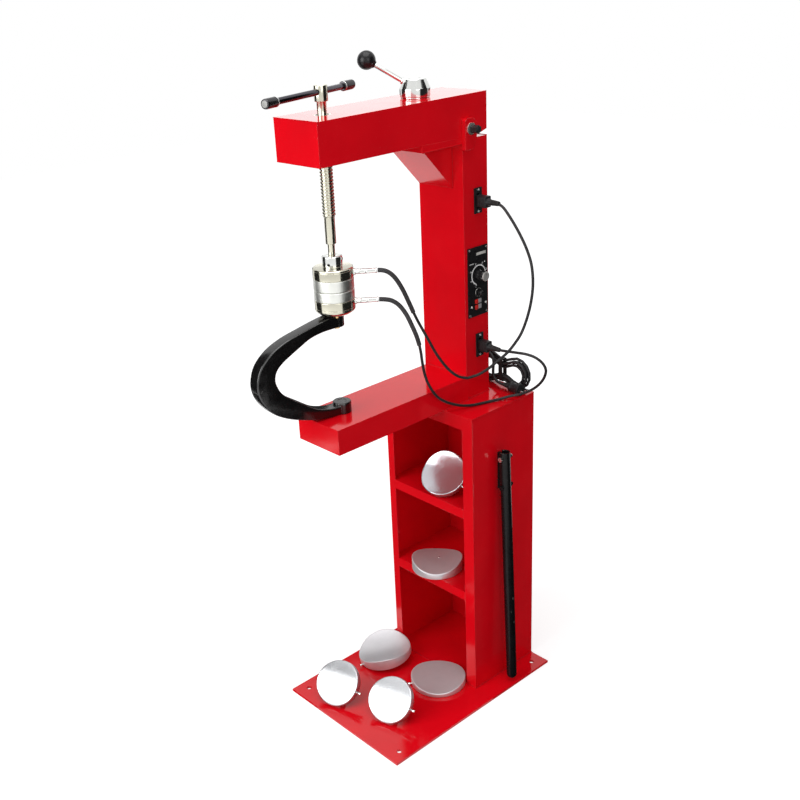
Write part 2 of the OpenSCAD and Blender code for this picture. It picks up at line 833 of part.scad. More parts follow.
// A smooth curve through a route's points, with steps points to each stretch
function at(p, i) = p[max(0, min(len(p) - 1, i))];
function smooth_point(a, b, c, d, t) =
    0.5 * (2 * b + (c - a) * t + (2 * a - 5 * b + 4 * c - d) * t * t
           + (3 * b - a - 3 * c + d) * t * t * t);
function smooth(p, steps) = concat(
    [for (i = [0 : len(p) - 2], k = [0 : steps - 1])
        smooth_point(at(p, i - 1), p[i], p[i + 1], at(p, i + 2), k / steps)],
    [p[len(p) - 1]]);
function unit(v) = v / norm(v);
function heading(p, i) = unit(at(p, i + 1) - at(p, i - 1));

// A side vector carried along the route without twist
function carry(v, t) = unit(v - (v * t) * t);
function sides(p, i = 0, v = [0, 0, 1], out = []) =
    i == len(p) ? out
    : let (s = carry(i == 0 && abs(heading(p, 0)[2]) > 0.9 ? [1, 0, 0] : v, heading(p, i)))
      sides(p, i + 1, s, concat(out, [s]));
function rings(p, d, n) =
    let (s = sides(p))
    [for (i = [0 : len(p) - 1])
        let (t = heading(p, i), u = s[i], w = cross(t, u))
        for (k = [0 : n - 1])
            p[i] + d / 2 * (cos(360 * k / n) * u + sin(360 * k / n) * w)];

// A tube of n sides through the points p, closed at both ends
module tube(p, d, n) {
    last = (len(p) - 1) * n;
    polyhedron(
        points = rings(p, d, n),
        faces = concat(
            [[for (k = [0 : n - 1]) k]],
            [for (i = [0 : len(p) - 2], k = [0 : n - 1])
                [i * n + k, (i + 1) * n + k, (i + 1) * n + (k + 1) % n]],
            [for (i = [0 : len(p) - 2], k = [0 : n - 1])
                [i * n + k, (i + 1) * n + (k + 1) % n, i * n + (k + 1) % n]],
            [[for (k = [n - 1 : -1 : 0]) last + k]]),
        convexity = 10);
}

cord_sides = 8;
module upper_sleeve() { color("dimgray") tube(upper_sleeve_route, sleeve_d, cord_sides); }
module lower_sleeve() { color("dimgray") tube(lower_sleeve_route, sleeve_d, cord_sides); }
module upper_lead() { color(black) tube(upper_lead_route, lead_d, cord_sides); }
module lower_lead() { color(black) tube(lower_lead_route, lead_d, cord_sides); }

// The mains lead's two ends stop just short of the hank, which goes on from them
join_gap = 0.8;
function last(points) = points[len(points) - 1];
function short_of(p, q) = p + (q - p) * join_gap / norm(q - p);
module mains_lead() {
    color(black) {
        tube(concat(mains_start_route, [short_of(hank_path[0], last(mains_start_route))]),
             cord_d, cord_sides);
        tube(concat([short_of(last(hank_path), mains_end_route[0])], mains_end_route),
             cord_d, cord_sides);
    }
}

// The hank: loops that spiral in on the back layer and out again on the front layer
hank_x = 55;
hank_back_y = 270;
hank_front_y = 262;
hank_low_z = cab_top_z + gap;
hank_rings = 24;
hank_sides = 6;
hank_total = 2 * hank_loops;
climb_share = 0.28;
function hank_r(n) = hank_fold + hank_step * abs(n - hank_loops - climb_share / 2);
function hank_waist_at(x) = abs(x) < hank_run ? hank_waist * (1 + cos(180 * x / hank_run)) / 2 : 0;
// Climb from the back layer to the front layer along the run where the spiral turns
function climb(n) = min(1, max(0, (n - hank_loops) / climb_share));
function hank_y(n) = hank_back_y + (hank_front_y - hank_back_y) * (1 - cos(180 * climb(n))) / 2;
// One loop has two runs and two half rounds; the share of each follows its length
function hank_loop(n) =
    let (r = hank_r(n), turn = n - floor(n), run = 2 * hank_run, arc = PI * r,
         whole = 2 * run + 2 * arc, s = turn * whole)
    s < run ? let (x = s - hank_run) [x, r - hank_waist_at(x)]
    : s < run + arc ? let (a = 90 - 180 * (s - run) / arc) [hank_run + r * cos(a), r * sin(a)]
    : s < 2 * run + arc ? let (x = hank_run - (s - run - arc)) [x, -r + hank_waist_at(x)]
    : let (a = -90 - 180 * (s - 2 * run - arc) / arc) [-hank_run + r * cos(a), r * sin(a)];
hank_low_r = min([for (i = [0 : hank_total * hank_rings]) hank_loop(i / hank_rings)[1]]);
hank_z = hank_low_z + cord_d / 2 - hank_low_r;
function hank_point(n) = let (q = hank_loop(n)) [hank_x + q[0], hank_y(n), hank_z + q[1]];
hank_path = [for (i = [0 : hank_total * hank_rings]) hank_point(i / hank_rings)];

// The least gap of the hank to itself, measured between points half a loop apart or more
hank_gap = min([for (i = [0 : len(hank_path) - 1], j = [i + hank_rings / 2 : 1 : len(hank_path) - 1])
    norm(hank_path[i] - hank_path[j])]) - cord_d;
echo(hank_gap = hank_gap);
echo(hank_ends = [hank_path[0], last(hank_path)]);

module mains_hank() {
    color(black) tube(hank_path, cord_d, hank_sides);
}

// The tie round the hank's waist
tie_w = 12;
tie_t = 1.5;
module hank_tie() {
    low_z = hank_z + hank_low_r + hank_waist - cord_d / 2 - 3 * gap;
    top_z = hank_z + hank_r(0) - hank_waist + cord_d / 2 + 3 * gap;
    y0 = hank_front_y - cord_d / 2 - 2 * gap;
    y1 = hank_back_y + cord_d / 2 + 2 * gap;
    color(black)
    difference() {
        block([hank_x - tie_w / 2, y0 - tie_t, low_z - tie_t],
              [hank_x + tie_w / 2, y1 + tie_t, top_z + tie_t]);
        block([hank_x - tie_w, y0, low_z], [hank_x + tie_w, y1, top_z]);
    }
}

// The gland on the column's back, with a tapered nose
gland_nut_len = 9;
gland_len = 21;
module mains_gland() {
    color(black)
    translate([gland_x, col_back, gland_z]) rotate([-90, 0, 0]) {
        translate([0, 0, -tube_t - over])
            cylinder(h = tube_t + 2 * over, d = gland_hole_d - 2 * gap, $fn = small_fn);
        cylinder(h = gland_nut_len, d = gland_d, $fn = small_fn);
        translate([0, 0, gland_nut_len])
            cylinder(h = gland_len - gland_nut_len, d1 = gland_hole_d, d2 = cord_d + 2, $fn = small_fn);
    }
}

// The mains plug: tapered boot, round body and two pins
mains_plug_x = 80.3;
mains_plug_y = 240;
mains_plug_z = 786;
mains_boot_len = 22;
mains_body_len = 34;
mains_body_d = 30;
mains_pin_len = 18;
mains_pin_d = 4.8;
mains_pin_pitch = 19;
module mains_plug() {
    color(black)
    translate([mains_plug_x, mains_plug_y, mains_plug_z]) rotate([0, 90, 0]) {
        cylinder(h = mains_boot_len, d1 = cord_d + 2, d2 = cord_d * 2, $fn = small_fn);
        translate([0, 0, mains_boot_len])
            cylinder(h = mains_body_len, d1 = mains_body_d * 0.8, d2 = mains_body_d, $fn = round_fn);
    }
    x = mains_plug_x + mains_boot_len + mains_body_len;
    color(chrome)
    for (s = [-1, 1])
        rod_x(x, x + mains_pin_len, mains_plug_y + s * mains_pin_pitch / 2, mains_plug_z,
              mains_pin_d, small_fn);
}

// The lug on the cabinet's side that carries the support bar
bar_x = cab_right + bar_out;
bar_y = cab_front + bar_back;
bar_z = base_t + cab_h - bar_below_top;
lug_t = 6;
lug_r = bar_d / 2 - bar_wall - 2 * gap;
lug_below = bar_bolt_span + 12;
bar_stop_x = bar_x + bar_bolt_span * sin(bar_lean);
module bar_lug() {
    stop_edge = bar_stop_x - bar_bolt_d / 2 - gap;
    color(black)
    difference() {
        union() {
            block([cab_right, bar_y - lug_t / 2, bar_z - lug_below], [stop_edge, bar_y + lug_t / 2, bar_z]);
            block([cab_right, bar_y - lug_t / 2, bar_z - lug_r], [bar_x, bar_y + lug_t / 2, bar_z + lug_r]);
            rod_y(bar_y - lug_t / 2, bar_y + lug_t / 2, bar_x, bar_z, 2 * lug_r);
        }
        rod_y(bar_y - lug_t, bar_y + lug_t, bar_x, bar_z, bar_bolt_d + 2 * fit);
    }
}

// A bolt along Y with a hexagon head, a nut and a short end
module cross_bolt(x, z) {
    head = bar_bolt_d * bolt_head_share;
    side = bar_d / 2 + gap;
    rod_y(bar_y - side, bar_y + side + head + bar_bolt_d / 2, x, z, bar_bolt_d);
    rod_y(bar_y - side - head, bar_y - side, x, z, bar_bolt_d * hex_share, hex_fn);
    rod_y(bar_y + side, bar_y + side + head, x, z, bar_bolt_d * hex_share, hex_fn);
}

module bar_pivot_bolt() { color(steel) cross_bolt(bar_x, bar_z); }

// The support bar: a tube with a slot for the lug, a round foot and a stop bolt
bar_above = 16;
bar_slot = lug_t + 4 * gap;
module support_bar() {
    foot_z = bar_above - bar_len;
    slot_low = -lug_below - bar_wall;
    color(black)
    translate([bar_x, bar_y, bar_z]) rotate([0, -bar_lean, 0]) {
        difference() {
            translate([0, 0, foot_z + bar_d / 2])
                cylinder(h = bar_len - bar_d / 2, d = bar_d, $fn = round_fn);
            translate([0, 0, foot_z + bar_d])
                cylinder(h = bar_len, d = bar_d - 2 * bar_wall, $fn = round_fn);
            block([-bar_d, -bar_slot / 2, slot_low], [0, bar_slot / 2, bar_above + over]);
            rod_y(-bar_d, bar_d, 0, 0, bar_bolt_d + 2 * fit);
            rod_y(-bar_d, bar_d, 0, -bar_bolt_span, bar_bolt_d + 2 * fit);
        }
        translate([0, 0, foot_z + bar_d / 2]) rotate_extrude($fn = round_fn)
            intersection() {
                circle(d = bar_d, $fn = round_fn);
                translate([0, -bar_d]) square([bar_d, bar_d]);
            }
        translate([0, -bar_y, 0]) cross_bolt(0, -bar_bolt_span);
    }
}

// The upper arm: a closed box with a relief cut under its rear end
module beam_outline(t) {
    y0 = beam_front + t;
    y1 = col_back - t;
    polygon([[y0, beam_z + t], [col_back - relief_len - t / 2, beam_z + t], [y1, beam_z + relief_h + t],
             [y1, beam_top_z - t], [y0, beam_top_z - t]]);
}

module upper_beam() {
    color(red)
    difference() {
        along_x(beam_left, beam_right) beam_outline(0);
        along_x(beam_left + tube_t, beam_right - tube_t) beam_outline(tube_t);
        post(col_x, screw_y, beam_z - over, beam_top_z + over, nut_d);
        post(col_x, stud_y, beam_z - over, beam_top_z + over, stud_d + 2 * stud_play);
        rod_x(beam_left - over, beam_right + over, pivot_y, pivot_z, pivot_d + 2 * fit);
    }
}

// The nut of the press screw, welded through the upper arm
module spindle_nut() {
    color(steel)
    difference() {
        union() {
            post(col_x, screw_y, beam_z, beam_top_z, nut_d);
            post(col_x, screw_y, beam_z - nut_flange_t, beam_z, nut_flange_d);
        }
        post(col_x, screw_y, beam_z - nut_flange_t - over, beam_top_z + over, screw_d + 2 * fit);
    }
}

// The clamp hub: a cone on a short cylinder, hollow for the stud, on its washer
module clamp_hub() {
    z0 = beam_top_z + hub_washer_t;
    flank_h = hub_h * 0.47;
    bore = stud_d + 2 * stud_play;
    color(chrome) {
        difference() {
            union() {
                post(col_x, stud_y, z0, z0 + flank_h, hub_d);
                translate([col_x, stud_y, z0 + flank_h])
                    cylinder(h = hub_h - flank_h, d1 = hub_d, d2 = hub_top_d, $fn = round_fn);
            }
            post(col_x, stud_y, z0 - over, stud_top_z + stud_play, bore);
            lever_axis() translate([0, 0, lever_root]) cylinder(h = hub_d, d = lever_d, $fn = small_fn);
        }
        difference() {
            post(col_x, stud_y, beam_top_z, z0, hub_d - hub_washer_t);
            post(col_x, stud_y, beam_top_z - over, z0 + over, bore);
        }
    }
}

// The lever's axis runs from the hub's axis out to the ball
lever_base_up = 19.5;
lever_angle = atan2(lever_reach, lever_rise - lever_base_up);
lever_len = norm([lever_reach, lever_rise - lever_base_up]);
lever_root = stud_d / 2 + stud_play + 6;
module lever_axis() {
    translate([col_x, stud_y, beam_top_z + lever_base_up]) rotate([0, 0, lever_turn])
        rotate([0, lever_angle, 0]) children();
}

module clamp_rod() {
    color(chrome) lever_axis() translate([0, 0, lever_root])
        cylinder(h = lever_len - lever_root, d = lever_d, $fn = small_fn);
}

module clamp_ball() {
    color(black) lever_axis() translate([0, 0, lever_len])
    difference() {
        sphere(d = ball_d, $fn = round_fn);
        translate([0, 0, -ball_d]) cylinder(h = ball_d, d = lever_d, $fn = small_fn);
    }
}

// The swivel collar under the screw, with its retaining screw
neck_socket = 21;
collar_screw_d = 6;
collar_screw_turn = 35;
collar_bevel = 2;
module swivel_collar() {
    screw_z = collar_top_z - collar_h * 0.32;
    neck_r = neck_d / 2 + fit;
    color(chrome)
    translate([col_x, screw_y, 0]) {
        difference() {
            rotate_extrude($fn = round_fn)
                polygon([[0, collar_z], [collar_d / 2, collar_z],
                         [collar_d / 2, collar_top_z - collar_bevel],
                         [collar_d / 2 - collar_bevel, collar_top_z], [0, collar_top_z]]);
            post(0, 0, collar_top_z - neck_socket, collar_top_z + over, 2 * neck_r);
            translate([0, 0, screw_z]) rotate([0, 90, collar_screw_turn])
                cylinder(h = collar_d, d = collar_screw_d, $fn = small_fn);
        }
        translate([0, 0, screw_z]) rotate([0, 90, collar_screw_turn])
            translate([0, 0, neck_r + gap])
            cylinder(h = collar_d / 2 - neck_r + collar_bevel, d = collar_screw_d, $fn = small_fn);
    }
}

// A ferrule that leads a heater's lead out sideways
module ferrule(z) {
    translate([col_x, screw_y, z]) rotate([0, 90, ferrule_turn])
        translate([0, 0, heater_d / 2 - cap_wall / 2]) {
            cylinder(h = ferrule_len * 0.5 + cap_wall / 2, d = ferrule_d, $fn = small_fn);
            translate([0, 0, ferrule_len * 0.5 + cap_wall / 2])
                cylinder(h = ferrule_len * 0.5, d1 = ferrule_d, d2 = sleeve_d, $fn = small_fn);
        }
}

// The upper heater's cap, a chromed cup over the heating element
module upper_heater_cap() {
    r = heater_d / 2;
    color(chrome) {
        translate([col_x, screw_y, 0]) rotate_extrude($fn = round_fn)
            polygon([[0, collar_z], [r - 1, collar_z], [r, collar_z - 1], [r, cap_up_z],
                     [r - cap_wall, cap_up_z], [r - cap_wall, collar_z - cap_wall],
                     [0, collar_z - cap_wall]]);
        ferrule(lead_up_z);
    }
}

module upper_heater_plate() {
    color(aluminium) post(col_x, screw_y, plate_up_z, cap_up_z, heater_d);
}

module upper_element() {
    color("tan") post(col_x, screw_y, cap_up_z, cap_up_z + element_t, heater_d - 4 * cap_wall);
}

// The screw: neck, plain stretch, ringed thread, shank and the cross-drilled boss
thread_depth = 2;
thread_top_z = beam_top_z - 2;
tommy_z = boss_z + boss_h * 0.6;
module spindle() {
    r = screw_d / 2;
    core = r - thread_depth;
    turns = floor((thread_top_z - thread_z) / screw_pitch);
    color(chrome)
    translate([col_x, screw_y, 0])
    difference() {
        rotate_extrude($fn = round_fn)
            polygon(concat(
                [[0, collar_top_z - neck_socket + gap], [neck_d / 2, collar_top_z - neck_socket + gap],
                 [neck_d / 2, plain_z], [plain_d / 2, plain_z], [plain_d / 2, thread_z]],
                [for (k = [0 : turns - 1], q = thread_share)
                    [core + thread_depth * q[0], thread_z + screw_pitch * (k + q[1])]],
                [[core, thread_top_z], [shank_d / 2, thread_top_z], [shank_d / 2, boss_z],
                 [boss_d / 2, boss_z], [boss_d / 2, boss_z + boss_h], [0, boss_z + boss_h]]));
        translate([0, 0, tommy_z]) rotate([0, 90, tommy_turn])
            cylinder(h = 2 * boss_d, d = tommy_d + 2 * fit, center = true, $fn = round_fn);
    }
}

// One turn of the thread: share of the depth and share of the pitch
thread_share = [[0, 0], [0, 0.2], [1, 0.38], [1, 0.82]];

module tommy_axis() {
    translate([col_x, screw_y, tommy_z]) rotate([0, 90, tommy_turn])
        translate([0, 0, -tommy_len / 2 - tommy_push]) children();
}

module tommy_bar() {
    color(black) tommy_axis() translate([0, 0, knob_len * 0.4])
        cylinder(h = tommy_len - knob_len * 0.8, d = tommy_d, $fn = round_fn);
}

module tommy_knobs() {
    hole = knob_len * 0.6;
    color(black) tommy_axis()
    for (z = [0, tommy_len - knob_len])
        difference() {
            translate([0, 0, z]) cylinder(h = knob_len, d = knob_d, $fn = round_fn);
            translate([0, 0, z == 0 ? knob_len - hole : z - over])
                cylinder(h = hole + over, d = tommy_d, $fn = round_fn);
        }
}

// The bow's outline: [share of its reach, share of its height], back and front curve
bow_h = cap_low_z - bow_low_z;
bow_outer_share = [
    [0.08, 0.99], [0.24, 0.965], [0.44, 0.925], [0.62, 0.885], [0.77, 0.83], [0.88, 0.76],
    [0.96, 0.67], [1, 0.55], [0.995, 0.45], [0.95, 0.345], [0.85, 0.23], [0.7, 0.14],
    [0.52, 0.072], [0.34, 0.024], [0.16, 0.003]
];
bow_inner_share = [
    [0.1, 0.085], [0.2, 0.095], [0.35, 0.14], [0.51, 0.24], [0.64, 0.325], [0.735, 0.405],
    [0.785, 0.5], [0.79, 0.57], [0.76, 0.635], [0.69, 0.69], [0.6, 0.735], [0.48, 0.79],
    [0.36, 0.84], [0.22, 0.865], [0.08, 0.87]
];
function bow_curve(shares) = [for (q = smooth(shares, 3)) [q[0] * bow_reach, q[1] * bow_h]];
module bow() {
    low_z = bow_low_z;
    color(black)
    translate([col_x, screw_y, 0]) rotate([0, 0, bow_turn])
    difference() {
        union() {
            translate([0, bow_t / 2, low_z]) rotate([90, 0, 0]) linear_extrude(bow_t)
                polygon(concat([[0, bow_h]], bow_curve(bow_outer_share), [[0, 0], [0, bow_h * 0.085]],
                               bow_curve(bow_inner_share), [[0, bow_h * 0.87]]));
            post(0, 0, low_z, low_z + bow_boss_h, bow_boss_d);
            post(0, 0, cap_low_z - bow_h * 0.13, cap_low_z, bow_top_d);
        }
        post(0, 0, low_z - over, low_z + bow_boss_h + over, locate_d + 2 * fit);
        post(0, 0, cap_low_z - bow_h, cap_low_z + over, heater_bolt_d + 2 * fit);
    }
}

// The bolt that holds the lower heater on the bow, and the small brass earth screw
heater_bolt_d = 8;
earth_d = 5;
earth_len = 6;
earth_turn = 325;
module heater_bolt() {
    head_z = cap_low_z - bow_h * 0.13 - gap;
    color(brass) {
        post(col_x, screw_y, head_z, cap_low_z + cap_wall, heater_bolt_d);
        post(col_x, screw_y, head_z - heater_bolt_d * bolt_head_share, head_z,
             heater_bolt_d * hex_share, hex_fn);
        translate([col_x, screw_y, 0]) rotate([0, 0, earth_turn])
            post(bow_top_d / 2 + earth_d, 0, cap_low_z - earth_len, cap_low_z, earth_d, small_fn);
    }
}

// The lower heater's cap, a chromed cup with a rounded bottom edge
module lower_heater_cap() {
    r = heater_d / 2;
    color(chrome) {
        difference() {
            translate([col_x, screw_y, 0]) rotate_extrude($fn = round_fn)
                difference() {
                    union() {
                        translate([0, cap_low_z]) square([r - cap_round, cap_low_h]);
                        translate([0, cap_low_z + cap_round]) square([r, cap_low_h - cap_round]);
                        translate([r - cap_round, cap_low_z + cap_round])
                            circle(r = cap_round, $fn = round_fn);
                    }
                    translate([0, cap_low_z + cap_wall]) square([r - cap_round, cap_low_h]);
                    translate([0, cap_low_z + cap_round]) square([r - cap_wall, cap_low_h]);
                }
            post(col_x, screw_y, cap_low_z - over, cap_low_z + cap_wall + over, heater_bolt_d + 2 * fit);
        }
        ferrule(lead_low_z);
    }
}

module lower_heater_plate() {
    color(aluminium) post(col_x, screw_y, plate_low_z, plate_low_z + plate_low_h, heater_d);
}

module lower_element() {
    color("tan") post(col_x, screw_y, plate_low_z - element_t, plate_low_z, heater_d - 4 * cap_wall);
}

// A pad: a disc with a curved face, a rim screw and a spigot on its back
rim_screw_d = 7;
rim_screw_len = 11;
rim_screw_share = 0.4;
module pad(d, t, curve, hollow, spigot_len, face_turn, screw_turn) {
    bend_r = (d * d / 4 + curve * curve) / (2 * curve);
    difference() {
        cylinder(h = t, d = d, $fn = round_fn);
        rotate([0, 0, face_turn])
            if (hollow)
                translate([-d, 0, t - curve + bend_r]) rotate([0, 90, 0])
                    cylinder(h = 2 * d, r = bend_r, $fn = 4 * round_fn);
            else
                difference() {
                    translate([-d, -d, 0]) cube([2 * d, 2 * d, 2 * t]);
                    translate([-2 * d, 0, t - bend_r]) rotate([0, 90, 0])
                        cylinder(h = 4 * d, r = bend_r, $fn = 4 * round_fn);
                }
    }
    if (spigot_len > 0)
        translate([0, 0, -spigot_len]) cylinder(h = spigot_len, d = spigot_d, $fn = small_fn);
    rotate([0, 0, screw_turn])
        translate([d / 2 - rim_screw_d / 2, 0, (t - curve) * rim_screw_share + rim_screw_d / 4])
            rotate([0, 90, 0])
                cylinder(h = rim_screw_len + rim_screw_d / 2, d = rim_screw_d, $fn = small_fn);
}

// A pad on a level: it leans on the edge of its rim and on its spigot, or lies flat with no spigot
module placed_pad(place, level, turn, lean, d, t, curve, hollow, face_turn, screw_turn) {
    spigot_len = (d / 2 - spigot_d / 2) * tan(lean);
    color(aluminium)
    translate([place[0], place[1], level + gap + d / 2 * sin(lean)])
        rotate([0, 0, turn]) rotate([lean, 0, 0])
            pad(d, t, curve, hollow, spigot_len, face_turn, screw_turn);
}

// Places of the pads, as [x, y]
shelf_upper_place = [6, 104];
shelf_lower_place = [-25, 98];
floor_left_place = [-122, -14];
floor_right_place = [50, 14];
front_left_inset = 69;
front_right_inset = 118;
front_left_place = [-84, front_left_inset - base_d / 2];
front_right_place = [62, front_right_inset - base_d / 2];

// Turns of the pads on their levels, and of their rim screws
stand_turn = 18;
saddle_turn = 130;
low_turn = -40;

module pad_shelf_upper() {
    placed_pad(shelf_upper_place, shelf_2_z, stand_turn, pad_lean, pad_small_d,
        pad_hollow_t, pad_hollow_curve, true, 0, -20);
}
module pad_shelf_lower() {
    placed_pad(shelf_lower_place, shelf_1_z, saddle_turn, 0, pad_middle_d,
        pad_deep_t, pad_deep_curve, true, 0, 10);
}
module pad_floor_left() {
    placed_pad(floor_left_place, base_t, low_turn, pad_low_lean, pad_large_d,
        pad_deep_t, pad_deep_curve, true, 90, 300);
}
module pad_floor_right() {
    placed_pad(floor_right_place, base_t, saddle_turn, 0, pad_large_d, pad_t, pad_curve, true, 0, 110);
}
module pad_front_left() {
    placed_pad(front_left_place, base_t, stand_turn, pad_lean, pad_small_d, pad_t, pad_curve, false, 0, -8);
}
module pad_front_right() {
    placed_pad(front_right_place, base_t, stand_turn, pad_lean, pad_small_d, pad_t, pad_curve, false, 0, -8);
}

base_plate();
cabinet_walls();
cabinet_top();
front_frame();
shelves();
lower_arm();
locating_pin();
column();
gusset();
seat_plate();
pivot_ears();
pivot_bolt();
clamp_stud();
control_panel();
panel_screws();
control_bodies();
timer_knob();
fuse_cap();
rocker_upper();
rocker_lower();
terminal_block();
sockets();
plug_upper();
plug_lower();
upper_lead();
lower_lead();
upper_sleeve();
lower_sleeve();
mains_gland();
mains_lead();
mains_hank();
hank_tie();
mains_plug();
bar_lug();
bar_pivot_bolt();
support_bar();
upper_beam();
spindle_nut();
clamp_hub();
clamp_rod();
clamp_ball();
swivel_collar();
upper_heater_cap();
upper_heater_plate();
upper_element();
spindle();
tommy_bar();
tommy_knobs();
bow();
lower_heater_cap();
lower_heater_plate();
lower_element();
heater_bolt();
pad_shelf_upper();
pad_shelf_lower();
pad_floor_left();
pad_floor_right();
pad_front_left();
pad_front_right();
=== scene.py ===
import math
from math import cos, pi, radians, sin

import bmesh
import bpy
from mathutils import Matrix, Vector


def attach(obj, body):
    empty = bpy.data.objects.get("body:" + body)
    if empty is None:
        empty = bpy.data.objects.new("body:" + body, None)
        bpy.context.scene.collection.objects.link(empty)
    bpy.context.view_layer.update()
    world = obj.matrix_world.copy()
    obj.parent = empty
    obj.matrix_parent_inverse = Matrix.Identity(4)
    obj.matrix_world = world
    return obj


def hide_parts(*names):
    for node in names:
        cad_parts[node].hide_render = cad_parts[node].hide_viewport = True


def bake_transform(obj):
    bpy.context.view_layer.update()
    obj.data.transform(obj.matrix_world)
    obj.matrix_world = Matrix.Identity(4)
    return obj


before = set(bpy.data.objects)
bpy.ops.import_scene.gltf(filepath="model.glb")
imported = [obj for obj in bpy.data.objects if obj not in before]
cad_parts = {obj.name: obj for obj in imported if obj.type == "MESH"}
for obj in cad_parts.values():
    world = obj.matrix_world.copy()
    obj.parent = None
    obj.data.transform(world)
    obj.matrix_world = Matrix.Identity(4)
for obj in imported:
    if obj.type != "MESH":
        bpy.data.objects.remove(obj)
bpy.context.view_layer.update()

MM = 0.001
UP = Vector((0, 0, 1))

# Camera at the photograph's angle
ahead = Vector((-0.7043, 0.5864, -0.4002))
right = Vector((0.6399, 0.7685, 0.0))
upward = Vector((-0.3076, 0.2561, 0.9165))
roll_cos, roll_sin = 0.99786, -0.0654
turn = Matrix((roll_cos * right + roll_sin * upward, roll_cos * upward - roll_sin * right, -ahead))
turn = turn.transposed().to_4x4()
turn.translation = (1.69374, -1.59695, 1.78599)
camera_data = bpy.data.cameras.new("camera")
camera_data.sensor_width = 36.0
camera_data.lens = 48.08
camera_data.shift_x = 0.0624
camera_data.shift_y = 0.0186
camera_data.clip_end = 60.0


def in_scene(name, data, at=Matrix.Identity(4)):
    ob = bpy.data.objects.new(name, data)
    ob.matrix_world = at
    bpy.context.scene.collection.objects.link(ob)
    return ob


bpy.context.scene.camera = in_scene("camera", camera_data, turn)


# Materials
class Nodes:
    """The node tree of a material or a world, built in a few calls."""

    def __init__(self, owner):
        owner.use_nodes = True
        self.t = owner.node_tree

    def node(self, kind, **inputs):
        """One node. p_ starts a property's name, i an input's number, and _ stands for a space."""
        n = self.t.nodes.new(kind)
        for k, v in inputs.items():
            if k.startswith("p_"):
                setattr(n, k[2:], v)
                continue
            key = int(k[1:]) if k[0] == "i" and k[1:].isdigit() else k.replace("_", " ")
            if isinstance(v, bpy.types.NodeSocket):
                self.t.links.new(v, n.inputs[key])
            else:
                n.inputs[key].default_value = v
        return n

    def math(self, op, a, b):
        return self.node("ShaderNodeMath", p_operation=op, i0=a, i1=b).outputs[0]

    def times(self, a, b):
        return self.math("MULTIPLY", a, b)

    def spread(self, value, low, high, to_low=0.0, to_high=1.0):
        return self.node("ShaderNodeMapRange", Value=value, From_Min=low, From_Max=high, To_Min=to_low,
                         To_Max=to_high).outputs[0]

    def shown(self):
        """1 for rays from the camera and for mirrored and transmitted ones, else 0."""
        rays = self.node("ShaderNodeLightPath").outputs
        clear = self.math("MAXIMUM", rays["Is Glossy Ray"], rays["Is Transmission Ray"])
        return self.math("MAXIMUM", rays["Is Camera Ray"], clear)


class Mat(Nodes):
    """A Principled material. Lengths in it are in metres."""

    def __init__(self, name, color, **sockets):
        self.m = bpy.data.materials.new(name)
        super().__init__(self.m)
        self.b = self.t.nodes["Principled BSDF"]
        for k, v in dict(sockets, Base_Color=(*color, 1.0)).items():
            self.b.inputs[k.replace("_", " ")].default_value = v
        self.normal = None

    def coords(self, scale=(1, 1, 1), uv=False):
        c = self.node("ShaderNodeTexCoord").outputs["UV" if uv else "Object"]
        if tuple(scale) == (1, 1, 1):
            return c
        return self.node("ShaderNodeMapping", Vector=c, Scale=scale).outputs[0]

    def noise(self, scale, detail=3.0, rough=0.5, stretch=(1, 1, 1), uv=False):
        return self.node("ShaderNodeTexNoise", Vector=self.coords(stretch, uv), Scale=scale,
                         Detail=detail, Roughness=rough).outputs["Fac"]

    def patches(self, scale, detail, low, high, to_low=0.0, to_high=1.0):
        """Noise of a scale a metre and a detail, with its range from low to high spread out."""
        return self.spread(self.noise(scale, detail), low, high, to_low, to_high)

    def mix(self, fac, a, b):
        a, b = (v if isinstance(v, bpy.types.NodeSocket) else (*v, 1.0) for v in (a, b))
        return self.node("ShaderNodeMix", p_data_type="RGBA", i0=fac, i6=a, i7=b).outputs[2]

    def set(self, socket, value):
        self.t.links.new(value, self.b.inputs[socket])

    def edges(self, radius):
        """Rounds the shading of sharp edges, and gives how near an edge a point is."""
        self.normal = self.node("ShaderNodeBevel", p_samples=4, Radius=radius).outputs[0]
        flat = self.node("ShaderNodeNewGeometry").outputs["Normal"]
        dot = self.node("ShaderNodeVectorMath", p_operation="DOT_PRODUCT", i0=self.normal, i1=flat)
        return self.spread(dot.outputs["Value"], 1.0, 0.8)

    def bump(self, height, strength, distance):
        n = self.node("ShaderNodeBump", Height=height, Strength=strength, Distance=distance)
        if self.normal is not None:
            self.t.links.new(self.normal, n.inputs["Normal"])
        self.normal = n.outputs[0]

    def done(self):
        if self.normal is not None:
            self.set("Normal", self.normal)
        return self.m


def shade(c, k, lift=0.0):
    return tuple(min(1.0, v * k + lift) for v in c)


PAINT_EDGE, METAL_EDGE, PLASTIC_EDGE = 0.0012, 0.0005, 0.0006
DUST, BARE_STEEL = (0.75, 0.7, 0.68), (0.42, 0.41, 0.39)


